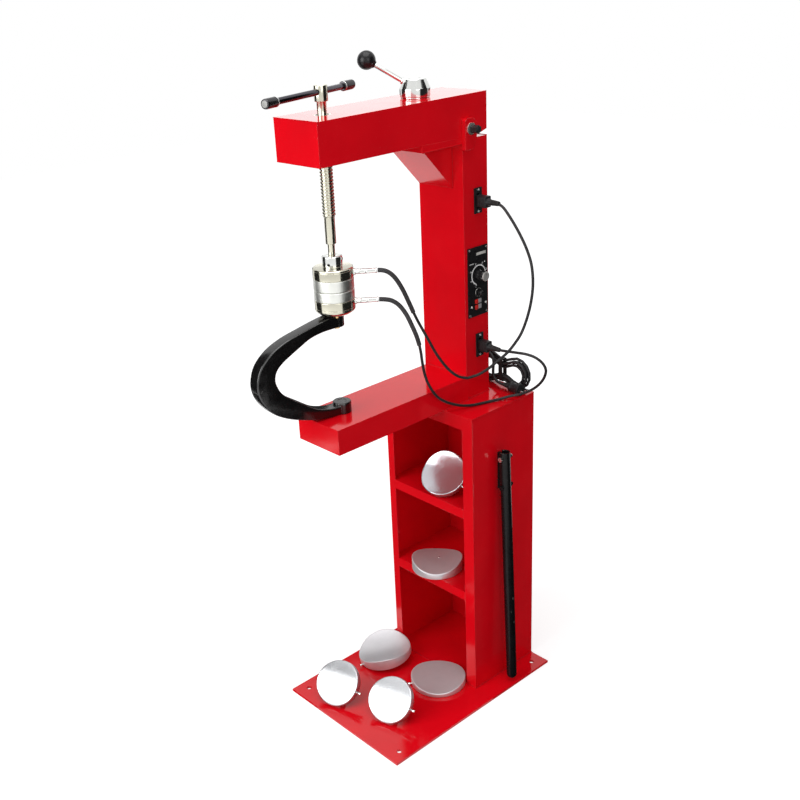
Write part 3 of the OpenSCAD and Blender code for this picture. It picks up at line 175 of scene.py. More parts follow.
def enamel(name, color, rough=0.1, peel=0.02, gloss=0.5):
    """Glossy paint with soft clouds, orange peel, worn edges and a little dust."""
    m = Mat(name, color, Roughness=rough, Specular_IOR_Level=gloss)
    near = m.edges(PAINT_EDGE)
    base = m.mix(m.patches(7.0, 4.0, 0.35, 0.7), shade(color, 0.93), shade(color, 1.05))
    base = m.mix(m.times(m.patches(900.0, 2.0, 0.3, 0.75), 0.12), base, shade(color, 0.72))
    worn = m.times(near, m.patches(60.0, 4.0, 0.56, 0.75))
    base = m.mix(m.times(worn, 0.5), base, shade(color, 0.6))
    m.set("Base Color", m.mix(m.times(m.patches(300.0, 5.0, 0.66, 0.8), 0.05), base, DUST))
    m.set("Roughness", m.patches(16.0, 5.0, 0.3, 0.75, rough * 0.75, rough * 1.5))
    m.bump(m.noise(190.0, 2.0), peel, 0.0008)
    m.bump(m.noise(11.0, 2.0), peel * 0.6, 0.004)
    return m.done()


def metal(name, color, rough, lines, scale, stain, metallic=1.0, turned=True):
    """Turned or drawn metal: fine lines round the piece, with faint stains."""
    m = Mat(name, color, Metallic=metallic, Roughness=rough)
    m.edges(METAL_EDGE)
    fine = m.noise(scale, 3.0, 0.6, (0.002, 1, 1) if turned else (0.02, 0.02, 1), turned)
    smear = m.noise(34.0, 4.0)
    m.set("Base Color", m.mix(m.times(m.spread(smear, 0.45, 0.8), stain), color, shade(color, 0.55)))
    m.set("Roughness", m.math("ADD", m.spread(fine, 0.3, 0.7, rough * 0.7, rough * 1.25),
                              m.spread(smear, 0.4, 0.8, 0.0, 0.08)))
    m.bump(fine, lines, 0.0002)
    return m.done()


def plastic(name, color, rough, grain, bump, edge=PLASTIC_EDGE, coat=0.0):
    """Moulded plastic with a fine grain and slightly paler edges."""
    m = Mat(name, color, Roughness=rough, Coat_Weight=coat, Specular_IOR_Level=0.2)
    near = m.edges(edge)
    base = m.mix(m.patches(40.0, 3.0, 0.3, 0.7), shade(color, 0.85), shade(color, 1.15))
    m.set("Base Color", m.mix(m.times(near, 0.35), base, shade(color, 1.5, 0.03)))
    m.set("Roughness", m.patches(90.0, 4.0, 0.3, 0.75, rough * 0.85, rough * 1.2))
    m.bump(m.noise(grain, 2.0), bump, 0.0003)
    return m.done()


def black_paint(name, color, rough, lumps, chips, gloss=0.25):
    """Black paint on steel or iron, chipped to bare metal here and there."""
    m = Mat(name, color, Roughness=rough, Specular_IOR_Level=gloss)
    near = m.edges(PAINT_EDGE)
    chip = m.times(m.spread(m.noise(55.0, 6.0, 0.65), 0.66, 0.7), 0.6)
    chip = m.math("MAXIMUM", chip, m.times(near, m.patches(120.0, 4.0, 0.55, 0.62)))
    chip = m.times(chip, chips)
    base = m.mix(m.patches(20.0, 4.0, 0.3, 0.7), shade(color, 0.7), shade(color, 1.4))
    m.set("Base Color", m.mix(chip, base, BARE_STEEL))
    m.set("Metallic", m.times(chip, 0.8))
    m.set("Roughness", m.patches(70.0, 5.0, 0.3, 0.75, rough * 0.75, rough * 1.25))
    m.bump(m.noise(140.0, 5.0, 0.6), lumps, 0.0008)
    return m.done()


def rubber(name, color, rough):
    m = Mat(name, color, Roughness=rough, Specular_IOR_Level=0.25)
    m.set("Base Color", m.mix(m.patches(25.0, 4.0, 0.3, 0.75), shade(color, 0.7), shade(color, 1.3, 0.012)))
    m.set("Roughness", m.patches(60.0, 4.0, 0.3, 0.7, rough * 0.8, rough * 1.2))
    m.bump(m.noise(900.0, 2.0), 0.08, 0.0002)
    return m.done()


def braid(name, color):
    """A braided sleeve: two crossed sets of strands in the tube's own coordinates."""
    m = Mat(name, color, Roughness=0.62, Specular_IOR_Level=0.25)
    strands = [m.node("ShaderNodeTexWave", Vector=m.coords((lean, 160.0, 1.0), True), Scale=1.0,
                      p_bands_direction="DIAGONAL").outputs["Fac"] for lean in (4.0, -4.0)]
    weave = m.math("MAXIMUM", *strands)
    base = m.mix(m.spread(m.noise(30.0), 0.3, 0.7), color, shade(color, 1.8))
    m.set("Base Color", m.mix(m.spread(weave, 0.3, 0.95), shade(color, 0.35), base))
    m.bump(weave, 0.5, 0.0008)
    return m.done()


# Numbers of a metal: roughness, depth of its lines, lines a metre, share of stains, how metallic it is
# Numbers of a plastic: roughness, grains a metre, depth of the grain, radius of its edges, share of coat
# Numbers of a black paint: roughness, depth of its lumps, share of chips, gloss
RED = (0.735, 0.0025, 0.009)
M = {
    "red": enamel("red_enamel", RED),
    "weld": enamel("red_weld", shade(RED, 0.8), 0.4, 0.12, 0.12),
    "iron": black_paint("bow_black", (0.004, 0.0036, 0.0038), 0.2, 0.14, 0.3, 0.75),
    "black": black_paint("bar_black", (0.0045, 0.0042, 0.0048), 0.3, 0.2, 0.55, 0.2),
    "bolt_black": black_paint("bolt_black", (0.02, 0.02, 0.021), 0.3, 0.1, 0.35),
    "chrome": metal("chrome", (0.72, 0.73, 0.71), 0.11, 0.06, 2600, 0.12),
    "nickel": metal("nickel", (0.58, 0.56, 0.46), 0.13, 0.06, 2600, 0.12),
    "thread": metal("screw_thread", (0.64, 0.63, 0.53), 0.16, 0.05, 1500, 0.15),
    "zinc": metal("zinc", (0.68, 0.67, 0.62), 0.28, 0.15, 900, 0.25, turned=False),
    "zinc_uv": metal("zinc_turned", (0.7, 0.69, 0.65), 0.25, 0.15, 1800, 0.25),
    "screw_chrome": metal("screw_chrome", (0.78, 0.77, 0.75), 0.16, 0.1, 900, 0.15, turned=False),
    "screw_uv": metal("screw_turned", (0.8, 0.79, 0.77), 0.14, 0.1, 1500, 0.15),
    "screw_dark": metal("screw_dark", (0.3, 0.3, 0.3), 0.3, 0.1, 1500, 0.3),
    "screw_pale": metal("screw_pale", (0.8, 0.8, 0.79), 0.42, 0.1, 1500, 0.2, 0.3),
    "washer": metal("pale_washer", (0.86, 0.83, 0.76), 0.38, 0.1, 900, 0.1),
    "tommy_black": metal("tommy_black", (0.1, 0.095, 0.11), 0.13, 0.08, 1500, 0.5),
    "knob_black": metal("knob_black", (0.07, 0.068, 0.072), 0.2, 0.1, 900, 0.4),
    "knob_end": metal("knob_end", (0.26, 0.26, 0.25), 0.4, 0.25, 1500, 0.3, 0.4),
    "knob_face": metal("knob_face", (0.46, 0.45, 0.43), 0.38, 0.25, 1500, 0.2, 0.5),
    "aluminium": metal("turned_aluminium", (0.74, 0.75, 0.71), 0.36, 0.3, 3200, 0.1),
    "brass": metal("brass", (0.76, 0.52, 0.24), 0.26, 0.15, 1500, 0.3),
    "pad_bright": metal("pad_bright", (0.6, 0.61, 0.63), 0.24, 0.2, 2400, 0.08, 0.85),
    "pad_mirror": metal("pad_mirror", (0.62, 0.62, 0.66), 0.13, 0.12, 2400, 0.08, 0.8),
    "pad_turned": metal("pad_turned", (0.68, 0.68, 0.7), 0.4, 0.3, 2400, 0.12, 0.55),
    "plastic": plastic("black_plastic", (0.012, 0.012, 0.013), 0.42, 900, 0.2),
    "ball": plastic("ball_black", (0.009, 0.009, 0.01), 0.3, 700, 0.015, coat=0.15),
    "gloss": plastic("gloss_black", (0.008, 0.008, 0.009), 0.13, 300, 0.02, coat=0.3),
    # Near-black plastic that stands in for the shade inside slots, the bore's end and the knob's pointer
    # groove: painted shade
    "hole": plastic("painted_recess_shade", (0.004, 0.004, 0.004), 0.7, 300, 0.02),
    "lamp": plastic("lamp_lens", (0.72, 0.7, 0.66), 0.15, 300, 0.02, 0.0003, 0.4),
    "panel": plastic("panel_black", (0.009, 0.009, 0.01), 0.3, 1200, 0.1),
    "switch_red": plastic("switch_red", (0.62, 0.02, 0.016), 0.22, 500, 0.03, 0.0004, 0.2),
    "switch_grey": plastic("switch_grey", (0.3, 0.29, 0.3), 0.25, 500, 0.03, 0.0004, 0.2),
    "print": plastic("printed_white", (0.8, 0.8, 0.8), 0.5, 800, 0.05, 0.0002),
    "dash_grey": plastic("printed_silver", (0.5, 0.49, 0.46), 0.45, 800, 0.05, 0.0002),
    "ceramic": plastic("ceramic", (0.7, 0.66, 0.56), 0.4, 300, 0.1),
    "mica": plastic("mica", (0.5, 0.4, 0.26), 0.5, 300, 0.1),
    "cord": rubber("cord_rubber", (0.014, 0.013, 0.014), 0.5),
    "boot": rubber("boot_rubber", (0.014, 0.014, 0.014), 0.55),
    "braid": braid("braided_sleeve", (0.045, 0.044, 0.046)),
}


# Mesh helpers: each takes sizes in mm and gives a mesh in metres, and piece joins such meshes
def finish(bm, mat, angle=32.0, me=None):
    """Smooth shading with sharp edges past an angle in degrees."""
    bmesh.ops.recalc_face_normals(bm, faces=bm.faces)
    me = me or bpy.data.meshes.new("part")
    bm.to_mesh(me)
    bm.free()
    for p in me.polygons:
        p.use_smooth = True
    me.set_sharp_from_angle(angle=radians(angle))
    me.materials.append(M[mat])
    return me


def shell(verts, faces, mat, uvs=None, angle=32.0, merge=False):
    """A mesh from its points and faces. merge makes one point of a ring without a radius."""
    me = bpy.data.meshes.new("part")
    me.from_pydata([tuple(v) for v in verts], [], faces)
    if uvs:
        layer = me.uv_layers.new(name="UVMap")
        for loop in me.loops:
            layer.data[loop.index].uv = uvs[loop.vertex_index]
    bm = bmesh.new()
    bm.from_mesh(me)
    if merge:
        bmesh.ops.remove_doubles(bm, verts=bm.verts, dist=1e-6)
    return finish(bm, mat, angle, me)


def piece(name, parts, body, stands_for=()):
    """Meshes joined as one piece, each with its material. A cord that bends has no body."""
    me = bpy.data.meshes.new(name)
    bm = bmesh.new()
    for part in parts:
        mat = part.materials[0]
        if mat.name not in me.materials:
            me.materials.append(mat)
        ready = len(bm.faces)
        bm.from_mesh(part)
        bm.faces.ensure_lookup_table()
        for f in bm.faces[ready:]:
            f.material_index = me.materials.find(mat.name)
        bpy.data.meshes.remove(part)
    bm.to_mesh(me)
    bm.free()
    ob = in_scene(name, me)
    if body:
        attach(ob, body)
    if stands_for:
        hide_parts(*stands_for)
    return ob


def dressed(node, parts, body):
    """A piece that is drawn anew in the place of one node."""
    return piece(node + "_dressed", parts, body, [node])


def axes(origin, z, x=(1, 0, 0)):
    """A matrix, in metres, from an origin in mm and the directions of its own z and x."""
    z = Vector(z).normalized()
    x = Vector(x)
    x = (x - x.dot(z) * z).normalized()
    m = Matrix((x, z.cross(x), z)).transposed().to_4x4()
    m.translation = Vector(origin) * MM
    return m


def upright(x, y, z=0.0):
    return axes((x, y, z), UP)


def sideways(x, y, z, out=1):
    """A matrix whose z points to the machine's right, or to its left, and whose x points back."""
    return axes((x, y, z), (out, 0, 0), (0, 1, 0))


def heading(degrees):
    """The level direction at an angle round the machine."""
    return Vector((cos(radians(degrees)), sin(radians(degrees)), 0))


def fillet(points, r=0.0, n=3):
    """Rounds the inner corners of an outline of (a, b) points by r, or of (a, b, r) points by their own."""
    out = []
    for i, p in enumerate(points):
        reach = p[2] if len(p) > 2 else r
        if i in (0, len(points) - 1) or reach <= 0:
            out.append(tuple(p[:2]))
            continue
        a, b, c = (Vector(q[:2]) for q in points[i - 1:i + 2])
        u, w = a - b, c - b
        k = min(reach, u.length * 0.45, w.length * 0.45)
        s, e = b + u.normalized() * k, b + w.normalized() * k
        for t in (j / n for j in range(n + 1)):
            out.append(tuple((1 - t) ** 2 * s + 2 * t * (1 - t) * b + t * t * e))
    return out


def round_rows(rows, n, turned_in=False):
    """The faces between rows of n points each, which lie one after the other."""
    faces = []
    for i in range(rows - 1):
        for k in range(n):
            a, b = i * n + k, i * n + (k + 1) % n
            faces.append((a, a + n, b + n, b) if turned_in else (a, b, b + n, a + n))
    return faces


def ends(rows, n):
    """The faces that close the first and the last of those rows."""
    return [tuple(range(n - 1, -1, -1)), tuple((rows - 1) * n + k for k in range(n))]


def lathe(points, at, mat, sides=48, r=0.0, n=3):
    """Turns an outline of (radius, height) points round the z axis of the matrix at."""
    profile = fillet(points, r, n)
    verts, uvs, run = [], [], 0.0
    for i, (radius, z) in enumerate(profile):
        if i:
            run += math.hypot(radius - profile[i - 1][0], z - profile[i - 1][1])
        for k in range(sides):
            a = 2 * pi * k / sides
            verts.append(at @ (Vector((radius * cos(a), radius * sin(a), z)) * MM))
            uvs.append((k / sides, run * MM))
    lids = [lid for lid, end in zip(ends(len(profile), sides), (profile[0], profile[-1])) if end[0] > 0.01]
    return shell(verts, round_rows(len(profile), sides) + lids, mat, uvs, merge=True)


def rod(r, low, high, at, mat, sides, edge=0.0, n=2):
    return lathe([(0, low), (r, low), (r, high), (0, high)], at, mat, sides, edge, n)


def beveled(verts, faces, r, mat, seg=3, only=None):
    """A solid with its edges rounded by r. only(edge) picks the edges that are rounded."""
    bm = bmesh.new()
    vs = [bm.verts.new(v) for v in verts]
    for f in faces:
        bm.faces.new([vs[i] for i in f])
    bmesh.ops.recalc_face_normals(bm, faces=bm.faces)
    bmesh.ops.bevel(bm, geom=[e for e in bm.edges if only is None or only(e)], offset=r * MM, segments=seg,
                    profile=0.5, affect="EDGES", clamp_overlap=True)
    return finish(bm, mat)


def slab(low, high, r, mat, at, seg=1):
    """A box from one corner to the other."""
    verts = [at @ (Vector([(high if i >> k & 1 else low)[k] for k in range(3)]) * MM) for i in range(8)]
    faces = [(0, 1, 3, 2), (4, 6, 7, 5), (0, 4, 5, 1), (2, 3, 7, 6), (0, 2, 6, 4), (1, 5, 7, 3)]
    return beveled(verts, faces, r, mat, seg)


def cut(width, length, low, high, at, r=0.03):
    """A dark slab on a screw's face, painted shade that stands in for a slot's depth."""
    return slab((-width / 2, -length / 2, low), (width / 2, length / 2, high), r, "hole", at)


def prism(outline, z0, z1, r, mat, at, rims=True, seg=2):
    """An outline of (x, y) points, drawn out along z. rims rounds the edges of its two ends only."""
    n = len(outline)
    verts = [at @ (Vector((x, y, z)) * MM) for z in (z0, z1) for x, y in outline]
    axis = at.to_3x3() @ UP

    def rim(e):
        return abs((e.verts[1].co - e.verts[0].co).normalized().dot(axis)) < 0.5
    return beveled(verts, ends(2, n) + round_rows(2, n), r, mat, seg, rim if rims else None)


def hexagon(across, z0, z1, at, mat):
    corners = [heading(60 * k).xy * across / math.sqrt(3) for k in range(6)]
    return prism(corners, z0, z1, min(0.9, (z1 - z0) * 0.2), mat, at)


def smooth_path(points, steps):
    """The same curve through its points as the source's."""
    p = [Vector(q) for q in points]
    out = []
    for i in range(len(p) - 1):
        a, b, c, d = p[max(0, i - 1)], p[i], p[i + 1], p[min(len(p) - 1, i + 2)]
        for k in range(steps):
            t = k / steps
            out.append(0.5 * (2 * b + (c - a) * t + (2 * a - 5 * b + 4 * c - d) * t * t
                              + (3 * b - a - 3 * c + d) * t ** 3))
    out.append(p[-1])
    return out


def tube(path, radius, mat, sides=16):
    """A closed tube along a path. radius is a number or a function of the share run."""
    n = len(path)
    total = path_length(path)
    verts, uvs = [], []
    side, run = None, 0.0
    for i, p in enumerate(path):
        t = (path[min(n - 1, i + 1)] - path[max(0, i - 1)]).normalized()
        if side is None:
            side = UP if abs(t.z) < 0.9 else Vector((1, 0, 0))
        side = (side - side.dot(t) * t).normalized()
        other = t.cross(side)
        if i:
            run += (path[i] - path[i - 1]).length
        r = radius(run / total) if callable(radius) else radius
        for k in range(sides):
            a = 2 * pi * k / sides
            verts.append((p + r * (cos(a) * side + sin(a) * other)) * MM)
            uvs.append((k / sides, run * MM))
    return shell(verts, round_rows(n, sides) + ends(n, sides), mat, uvs, 50.0)


def path_length(path):
    return sum((b - a).length for a, b in zip(path, path[1:]))


# Routes of the cords, as in the part's source, in millimetres
COL_X, SCREW_Y, CAB_TOP = -18.0, -193.2, 770.0
UPPER_SLEEVE = [(43, -120, 1152), (50, -112, 1151), (56, -102, 1146), (61, -92, 1136),
                (64, -81, 1120), (67, -69, 1097), (69, -57, 1070), (71, -46, 1044)]
UPPER_LEAD = [(71, -45.8, 1043.6), (73, -33, 1017), (77, -10, 973), (82, 12, 930), (89, 37, 892),
              (98, 61, 867), (109, 83, 858), (123, 105, 864), (137, 125, 877), (151, 143, 895),
              (164, 158, 912), (177, 170, 935), (190, 178, 962), (202, 184, 1002),
              (210, 187, 1042), (213, 188, 1082), (208, 188, 1122), (195, 187, 1155),
              (177, 187, 1183), (159, 187, 1206), (142, 186, 1226), (129, 186, 1238),
              (117, 186, 1244)]
LOWER_SLEEVE = [(43, -120, 1087), (51, -111, 1086), (61, -99, 1082), (71, -87, 1070),
                (79, -75, 1048), (84, -63, 1018), (85, -52, 992), (84, -44, 970)]
LOWER_LEAD = [(83.9, -43.8, 969.6), (80, -36, 948), (74, -27, 921), (69, -17, 892), (67, -6, 865),
              (67, 9, 838), (69, 27, 815), (73, 48, 799), (78, 70, 787), (84, 91, 779),
              (91, 112, 775), (99, 135, 774), (107, 159, 774), (117, 184, 775), (130, 204, 779),
              (150, 216, 786), (172, 221, 797), (194, 222, 813), (213, 220, 832),
              (227, 216, 852), (234, 211, 872), (228, 205, 889), (212, 199, 900),
              (190, 194, 904), (165, 190, 903), (140, 187, 901), (117, 186, 899)]
MAINS_START = [(-74.5, 240.8, 852), (-74.5, 248, 852), (-70.7, 261.6, 852), (-60.5, 271.8, 852),
               (-46.5, 275.5, 852), (-28, 274, 852), (-8, 271.5, 851)]
MAINS_END = [(25, 258.5, 844), (37, 253, 832.5), (41, 247, 817), (45, 243, 801.5),
             (56, 241, 790), (71, 240, 786), (80, 240, 786)]
LEAD_D, SLEEVE_D, CORD_D = 6.5, 10.0, 7.0
LOW_POINT = 6       # of the upper lead, where its fall ends and its climb begins
LAST_MOVING = 8     # of the lower lead's points, from where it lies still

# The mains cord's hank: long loops with a waist, which climb once from the back to the front
HANK_X, HANK_BACK, HANK_FRONT, HANK_FOLD, HANK_STEP, HANK_RUN = 55.0, 270.0, 262.0, 22.4, 8.3, 45.0
HANK_TURNS, HANK_STEPS, HANK_WAIST, HANK_GAP, CLIMB = 4, 24, 14.0, 0.3, 0.28


def hank_radius(n):
    return HANK_FOLD + HANK_STEP * abs(n - (HANK_TURNS + CLIMB) / 2)


def hank_flat(n):
    r, share = hank_radius(n), n - math.floor(n)
    run, arc = 2 * HANK_RUN, pi * r
    s = share * (2 * run + 2 * arc)

    def waist(x):
        return HANK_WAIST * (1 + cos(pi * x / HANK_RUN)) / 2 if abs(x) < HANK_RUN else 0.0
    if s < run:
        x = s - HANK_RUN
        return x, r - waist(x)
    if s < run + arc:
        a = pi / 2 - pi * (s - run) / arc
        return HANK_RUN + r * cos(a), r * sin(a)
    if s < 2 * run + arc:
        x = HANK_RUN - (s - run - arc)
        return x, -r + waist(x)
    a = -pi / 2 - pi * (s - 2 * run - arc) / arc
    return -HANK_RUN + r * cos(a), r * sin(a)


hank_turns = [i / HANK_STEPS for i in range(HANK_TURNS * HANK_STEPS + 1)]
HANK_LOW = min(hank_flat(n)[1] for n in hank_turns)
HANK_Z = CAB_TOP + HANK_GAP + CORD_D / 2 - HANK_LOW


def hank_point(n):
    x, z = hank_flat(n)
    climbed = min(1.0, max(0.0, (n - HANK_TURNS / 2) / CLIMB))
    y = HANK_BACK + (HANK_FRONT - HANK_BACK) * (1 - cos(pi * climbed)) / 2
    return Vector((HANK_X + x, y, HANK_Z + z))


HANK = [hank_point(n) for n in hank_turns]


def hanging(name, points, nodes, bodies, held, far_end, sleeve=False, **more):
    """A cord drawn as a tube through its points, as a piece without a body. bodies, held, far_end and the
    further arguments are not used.
    """
    diameter, mat, slot, steps = (SLEEVE_D, "braid", "sleeve_braid", 4) if sleeve \
        else (LEAD_D, "cord", "cord_rubber", 5)
    path = smooth_path(points, steps)
    ob = piece(name, [tube(path, diameter / 2, mat)], None, nodes)
    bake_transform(ob)


fall_held = (UPPER_SLEEVE[0], UPPER_LEAD[LOW_POINT])
climb_held = (UPPER_LEAD[LOW_POINT], UPPER_LEAD[-2])
lower_held = (LOWER_SLEEVE[0], LOWER_LEAD[LAST_MOVING])
fall, climb, bow_lead = ("press_head", "upper_arm"), ("upper_arm", "stand"), ("heater_bow", "stand")
hanging("sleeve_upper", UPPER_SLEEVE, ["upper_sleeve"], fall, fall_held, "object", True)
hanging("lead_upper_fall", UPPER_LEAD[:LOW_POINT + 1], ["upper_lead"], fall, fall_held, "object")
hanging("lead_upper_climb", UPPER_LEAD[LOW_POINT:], [], climb, climb_held, "plug", with_pieces=["plug_upper"])
hanging("sleeve_lower", LOWER_SLEEVE, ["lower_sleeve"], bow_lead, lower_held, "object", True)
hanging("lead_lower", LOWER_LEAD, ["lower_lead"], bow_lead, lower_held, "plug", with_pieces=["plug_lower"])

mains_path = (smooth_path(MAINS_START + [tuple(HANK[0])], 4)[:-1] + HANK
              + smooth_path([tuple(HANK[-1])] + MAINS_END, 4)[1:])
mains = piece("mains_cord", [tube(mains_path, CORD_D / 2, "cord", 14)], "stand",
              ["mains_lead", "mains_hank"])


def ribbed_boot(at, r0, r1, length, ribs=6, ring=0.4, groove=0.2):
    """A tapered rubber boot with raised rings, from 0 to length along z."""
    points = [(r0 * 0.55, 0.0), (r0, 0.2)]
    pitch = length * 0.78 / ribs
    for k in range(ribs):
        z = length * 0.1 + pitch * k
        r = r0 + (r1 - r0) * z / length
        points += [(r + ring, z), (r + ring, z + pitch * 0.5), (r - groove, z + pitch * 0.55),
                   (r - groove, z + pitch - 0.1)]
    points += [(r1, length * 0.92), (r1, length), (r1 * 0.5, length)]
    return lathe(points, at, "boot", 32, 0.25, 2)


# Mains plug, its boot and pins
PLUG_X, PLUG_Y, PLUG_Z, PLUG_LENGTH, PIN_ASIDE = 80.3, 240.0, 786.0, 56.0, 9.5
plug_at = sideways(PLUG_X, PLUG_Y, PLUG_Z)
plug_body = lathe(
    [(0, 21.4), (12.0, 22, 1.2), (12.4, 27, 1.5), (11.0, 31, 2.5), (11.4, 41, 2.5), (14.2, 47, 2.5),
     (15.0, 55.4, 0.8), (14.0, PLUG_LENGTH, 0.5), (0, PLUG_LENGTH)], plug_at, "plastic")
plug_boot = ribbed_boot(plug_at, 4.5, 6.6, 22.0)
mains_plug = dressed("mains_plug", [plug_boot, plug_body], "stand")
pins = []
for side in (-1, 1):
    pin_at = sideways(PLUG_X + PLUG_LENGTH, PLUG_Y + side * PIN_ASIDE, PLUG_Z)
    pins += [lathe([(0, 0), (2.4, 0), (2.4, 17), (1.6, 18), (0, 18)], pin_at, "chrome", 20, 0.7),
             rod(2.45, 0, 7, pin_at, "plastic", 20)]
mains_pins = piece("mains_plug_pins", pins, "stand")


def strap(low, high, y0, y1, x0, x1, t):
    """A flat band of thickness t round a bundle, from x0 to x1."""
    mid_y, mid_z = (y0 + y1) / 2, (low + high) / 2
    rim = fillet([(y0, mid_z), (y0, low), (y1, low), (y1, high), (y0, high), (y0, mid_z)], 4.0, 5)[:-1]
    verts, faces = [], []
    for y, z in rim:
        out = Vector((y - mid_y, z - mid_z)).normalized() * t
        for x, k in ((x0, 0), (x1, 0), (x1, 1), (x0, 1)):
            verts.append(Vector((x, y + out.x * k, z + out.y * k)) * MM)
    for i in range(len(rim)):
        a, b = 4 * i, 4 * ((i + 1) % len(rim))
        faces += [(a + k, a + (k + 1) % 4, b + (k + 1) % 4, b + k) for k in range(4)]
    return shell(verts, faces, "boot", None, 40.0)


TIE_GAP, TIE_SIDE_GAP, TIE_HALF, TIE_T = 1.0, 0.5, 6.0, 1.4
tie_inset = HANK_WAIST - CORD_D / 2 - TIE_GAP
tie_aside = CORD_D / 2 + TIE_SIDE_GAP
tie = piece("hank_strap", [strap(HANK_Z + HANK_LOW + tie_inset, HANK_Z + hank_radius(0) - tie_inset,
                                 HANK_FRONT - tie_aside, HANK_BACK + tie_aside,
                                 HANK_X - TIE_HALF, HANK_X + TIE_HALF, TIE_T)], "stand",
            ["hank_tie"])

# Finish of the solids that are shown as they are
FINISH = {
    "red": ["base_plate", "cabinet_walls", "cabinet_top", "front_frame", "shelves", "lower_arm", "column",
            "gusset", "seat_plate", "pivot_ears", "upper_beam"],
    "zinc": ["locating_pin", "clamp_stud", "bar_pivot_bolt", "spindle_nut"],
    "bolt_black": ["pivot_bolt"],
    "panel": ["control_panel"],
    "plastic": ["control_bodies", "sockets", "mains_gland"],
    "screw_chrome": ["panel_screws"],
    "ceramic": ["terminal_block"],
    "mica": ["upper_element", "lower_element"],
    "black": ["support_bar", "bar_lug"],
}
for mat, nodes in FINISH.items():
    for solid in (bpy.data.objects[node] for node in nodes):
        if not solid.data.materials:
            solid.data.materials.append(M[mat])
        for material_slot in solid.material_slots:
            material_slot.material = M[mat]


# Weld beads along the joints of the red steel
def weld(start, end, r):
    """A bead whose radius swells in short and in long waves."""
    a, b = Vector(start), Vector(end)
    run = (b - a).length
    n = max(8, int(run / 1.6))

    def swell(t):
        return r * (0.86 + 0.12 * abs(sin(t * run * 0.75)) + 0.1 * sin(t * run * 0.13 + a.x))
    return tube([a + (b - a) * i / n for i in range(n + 1)], swell, "weld", 8)


LEFT, RIGHT, FRONT, BACK = -87.5, 51.5, 141.0, 219.3
CAB_LEFT, CAB_RIGHT, CAB_FRONT, CAB_BACK, CAB_FOOT, CAB_EDGE = -151, 143, 60, 279, 6.4, CAB_TOP - 0.4
ARM_LEFT, ARM_RIGHT, ARM_TOP, RIB_X, RIB_LOW = -81, 57, 830, 20, 1277.6
SEAT_LOW, SEAT_TOP, BEAM_END, BEAM_LOW, BEAM_TOP = 1377.4, 1383, -264.7, 1392.4, 1481.1
welds = [weld(*line) for line in (
    ((RIGHT, FRONT, CAB_TOP), (RIGHT, BACK, CAB_TOP), 3.0),
    ((LEFT, FRONT, CAB_TOP), (LEFT, BACK, CAB_TOP), 3.0),
    ((LEFT, BACK, CAB_TOP), (RIGHT, BACK, CAB_TOP), 3.0),
    ((ARM_RIGHT, CAB_FRONT, CAB_TOP), (ARM_RIGHT, FRONT - 1, CAB_TOP), 2.6),
    ((ARM_LEFT, CAB_FRONT, CAB_TOP), (ARM_LEFT, FRONT - 1, CAB_TOP), 2.6),
    ((ARM_LEFT + 1, FRONT - 0.7, ARM_TOP), (RIGHT - 0.5, FRONT - 0.7, ARM_TOP), 2.6),
    ((RIGHT + 0.7, FRONT - 0.4, CAB_TOP + 1), (RIGHT + 0.7, FRONT - 0.4, ARM_TOP - 1), 2.4),
    ((LEFT + 0.5, FRONT - 0.8, RIB_LOW), (RIB_X - 0.5, FRONT - 0.8, RIB_LOW), 1.2),
    ((RIGHT + 0.1, 17, SEAT_LOW), (RIGHT + 0.1, 137, SEAT_LOW), 1.7),
    ((RIB_X, 46, SEAT_LOW - 1), (RIB_X, 137, SEAT_LOW - 1), 1.6),
    ((RIB_X + 0.2, FRONT - 1.2, RIB_LOW + 2.4), (RIB_X + 0.2, FRONT - 1.2, SEAT_LOW - 1.4), 1.5),
    ((LEFT + 0.1, BACK - 0.4, SEAT_TOP + 3), (RIGHT - 0.1, BACK - 0.4, SEAT_TOP + 3), 1.2),
    ((RIGHT + 0.1, FRONT, SEAT_TOP), (RIGHT + 0.1, 173.5, SEAT_TOP), 0.9),
    ((CAB_LEFT, CAB_BACK, CAB_TOP), (CAB_RIGHT, CAB_BACK, CAB_TOP), 1.2),
    ((CAB_RIGHT, CAB_FRONT, CAB_EDGE), (CAB_RIGHT, CAB_BACK, CAB_EDGE), 1.1),
    ((CAB_LEFT, CAB_FRONT, CAB_EDGE), (CAB_LEFT, CAB_BACK, CAB_EDGE), 1.1),
    ((CAB_LEFT, CAB_FRONT - 1.5, CAB_FOOT), (CAB_RIGHT, CAB_FRONT - 1.5, CAB_FOOT), 1.8),
    ((CAB_RIGHT, CAB_FRONT, CAB_FOOT), (CAB_RIGHT, CAB_BACK, CAB_FOOT), 2.2),
    ((CAB_LEFT, CAB_FRONT, CAB_FOOT), (CAB_LEFT, CAB_BACK, CAB_FOOT), 2.2))]
piece("weld_beads", welds, "stand")
seams = [weld((LEFT + 0.3, BEAM_END, z), (RIGHT - 0.3, BEAM_END, z), 0.9) for z in (BEAM_LOW, BEAM_TOP)]
piece("beam_seams", seams, "upper_arm")

# Clamp hub: a washer, and a body with a cone and a recessed top
HUB_Y, HUB_LOW = 68.8, 1484.6
hub_at = upright(COL_X, HUB_Y, HUB_LOW)
hub = lathe([(13, 0), (32.4, 0, 0.6), (33, 1, 0.8), (33, 17, 1.2), (32.2, 18.6, 1.5), (24.6, 35.6, 1.2),
             (23.6, 36.9, 0.8), (15.5, 36.9, 0.6), (14.5, 35.8, 0.5), (0, 35.4)], hub_at, "chrome", 128, n=4)
washer = lathe([(20, -3), (31.2, -3), (31.5, -2.4), (31.5, -0.6), (31.0, -0.1), (20, -0.1)], hub_at, "chrome",
               96, 0.3, 2)
dressed("clamp_hub", [hub, washer], "clamp_lever")

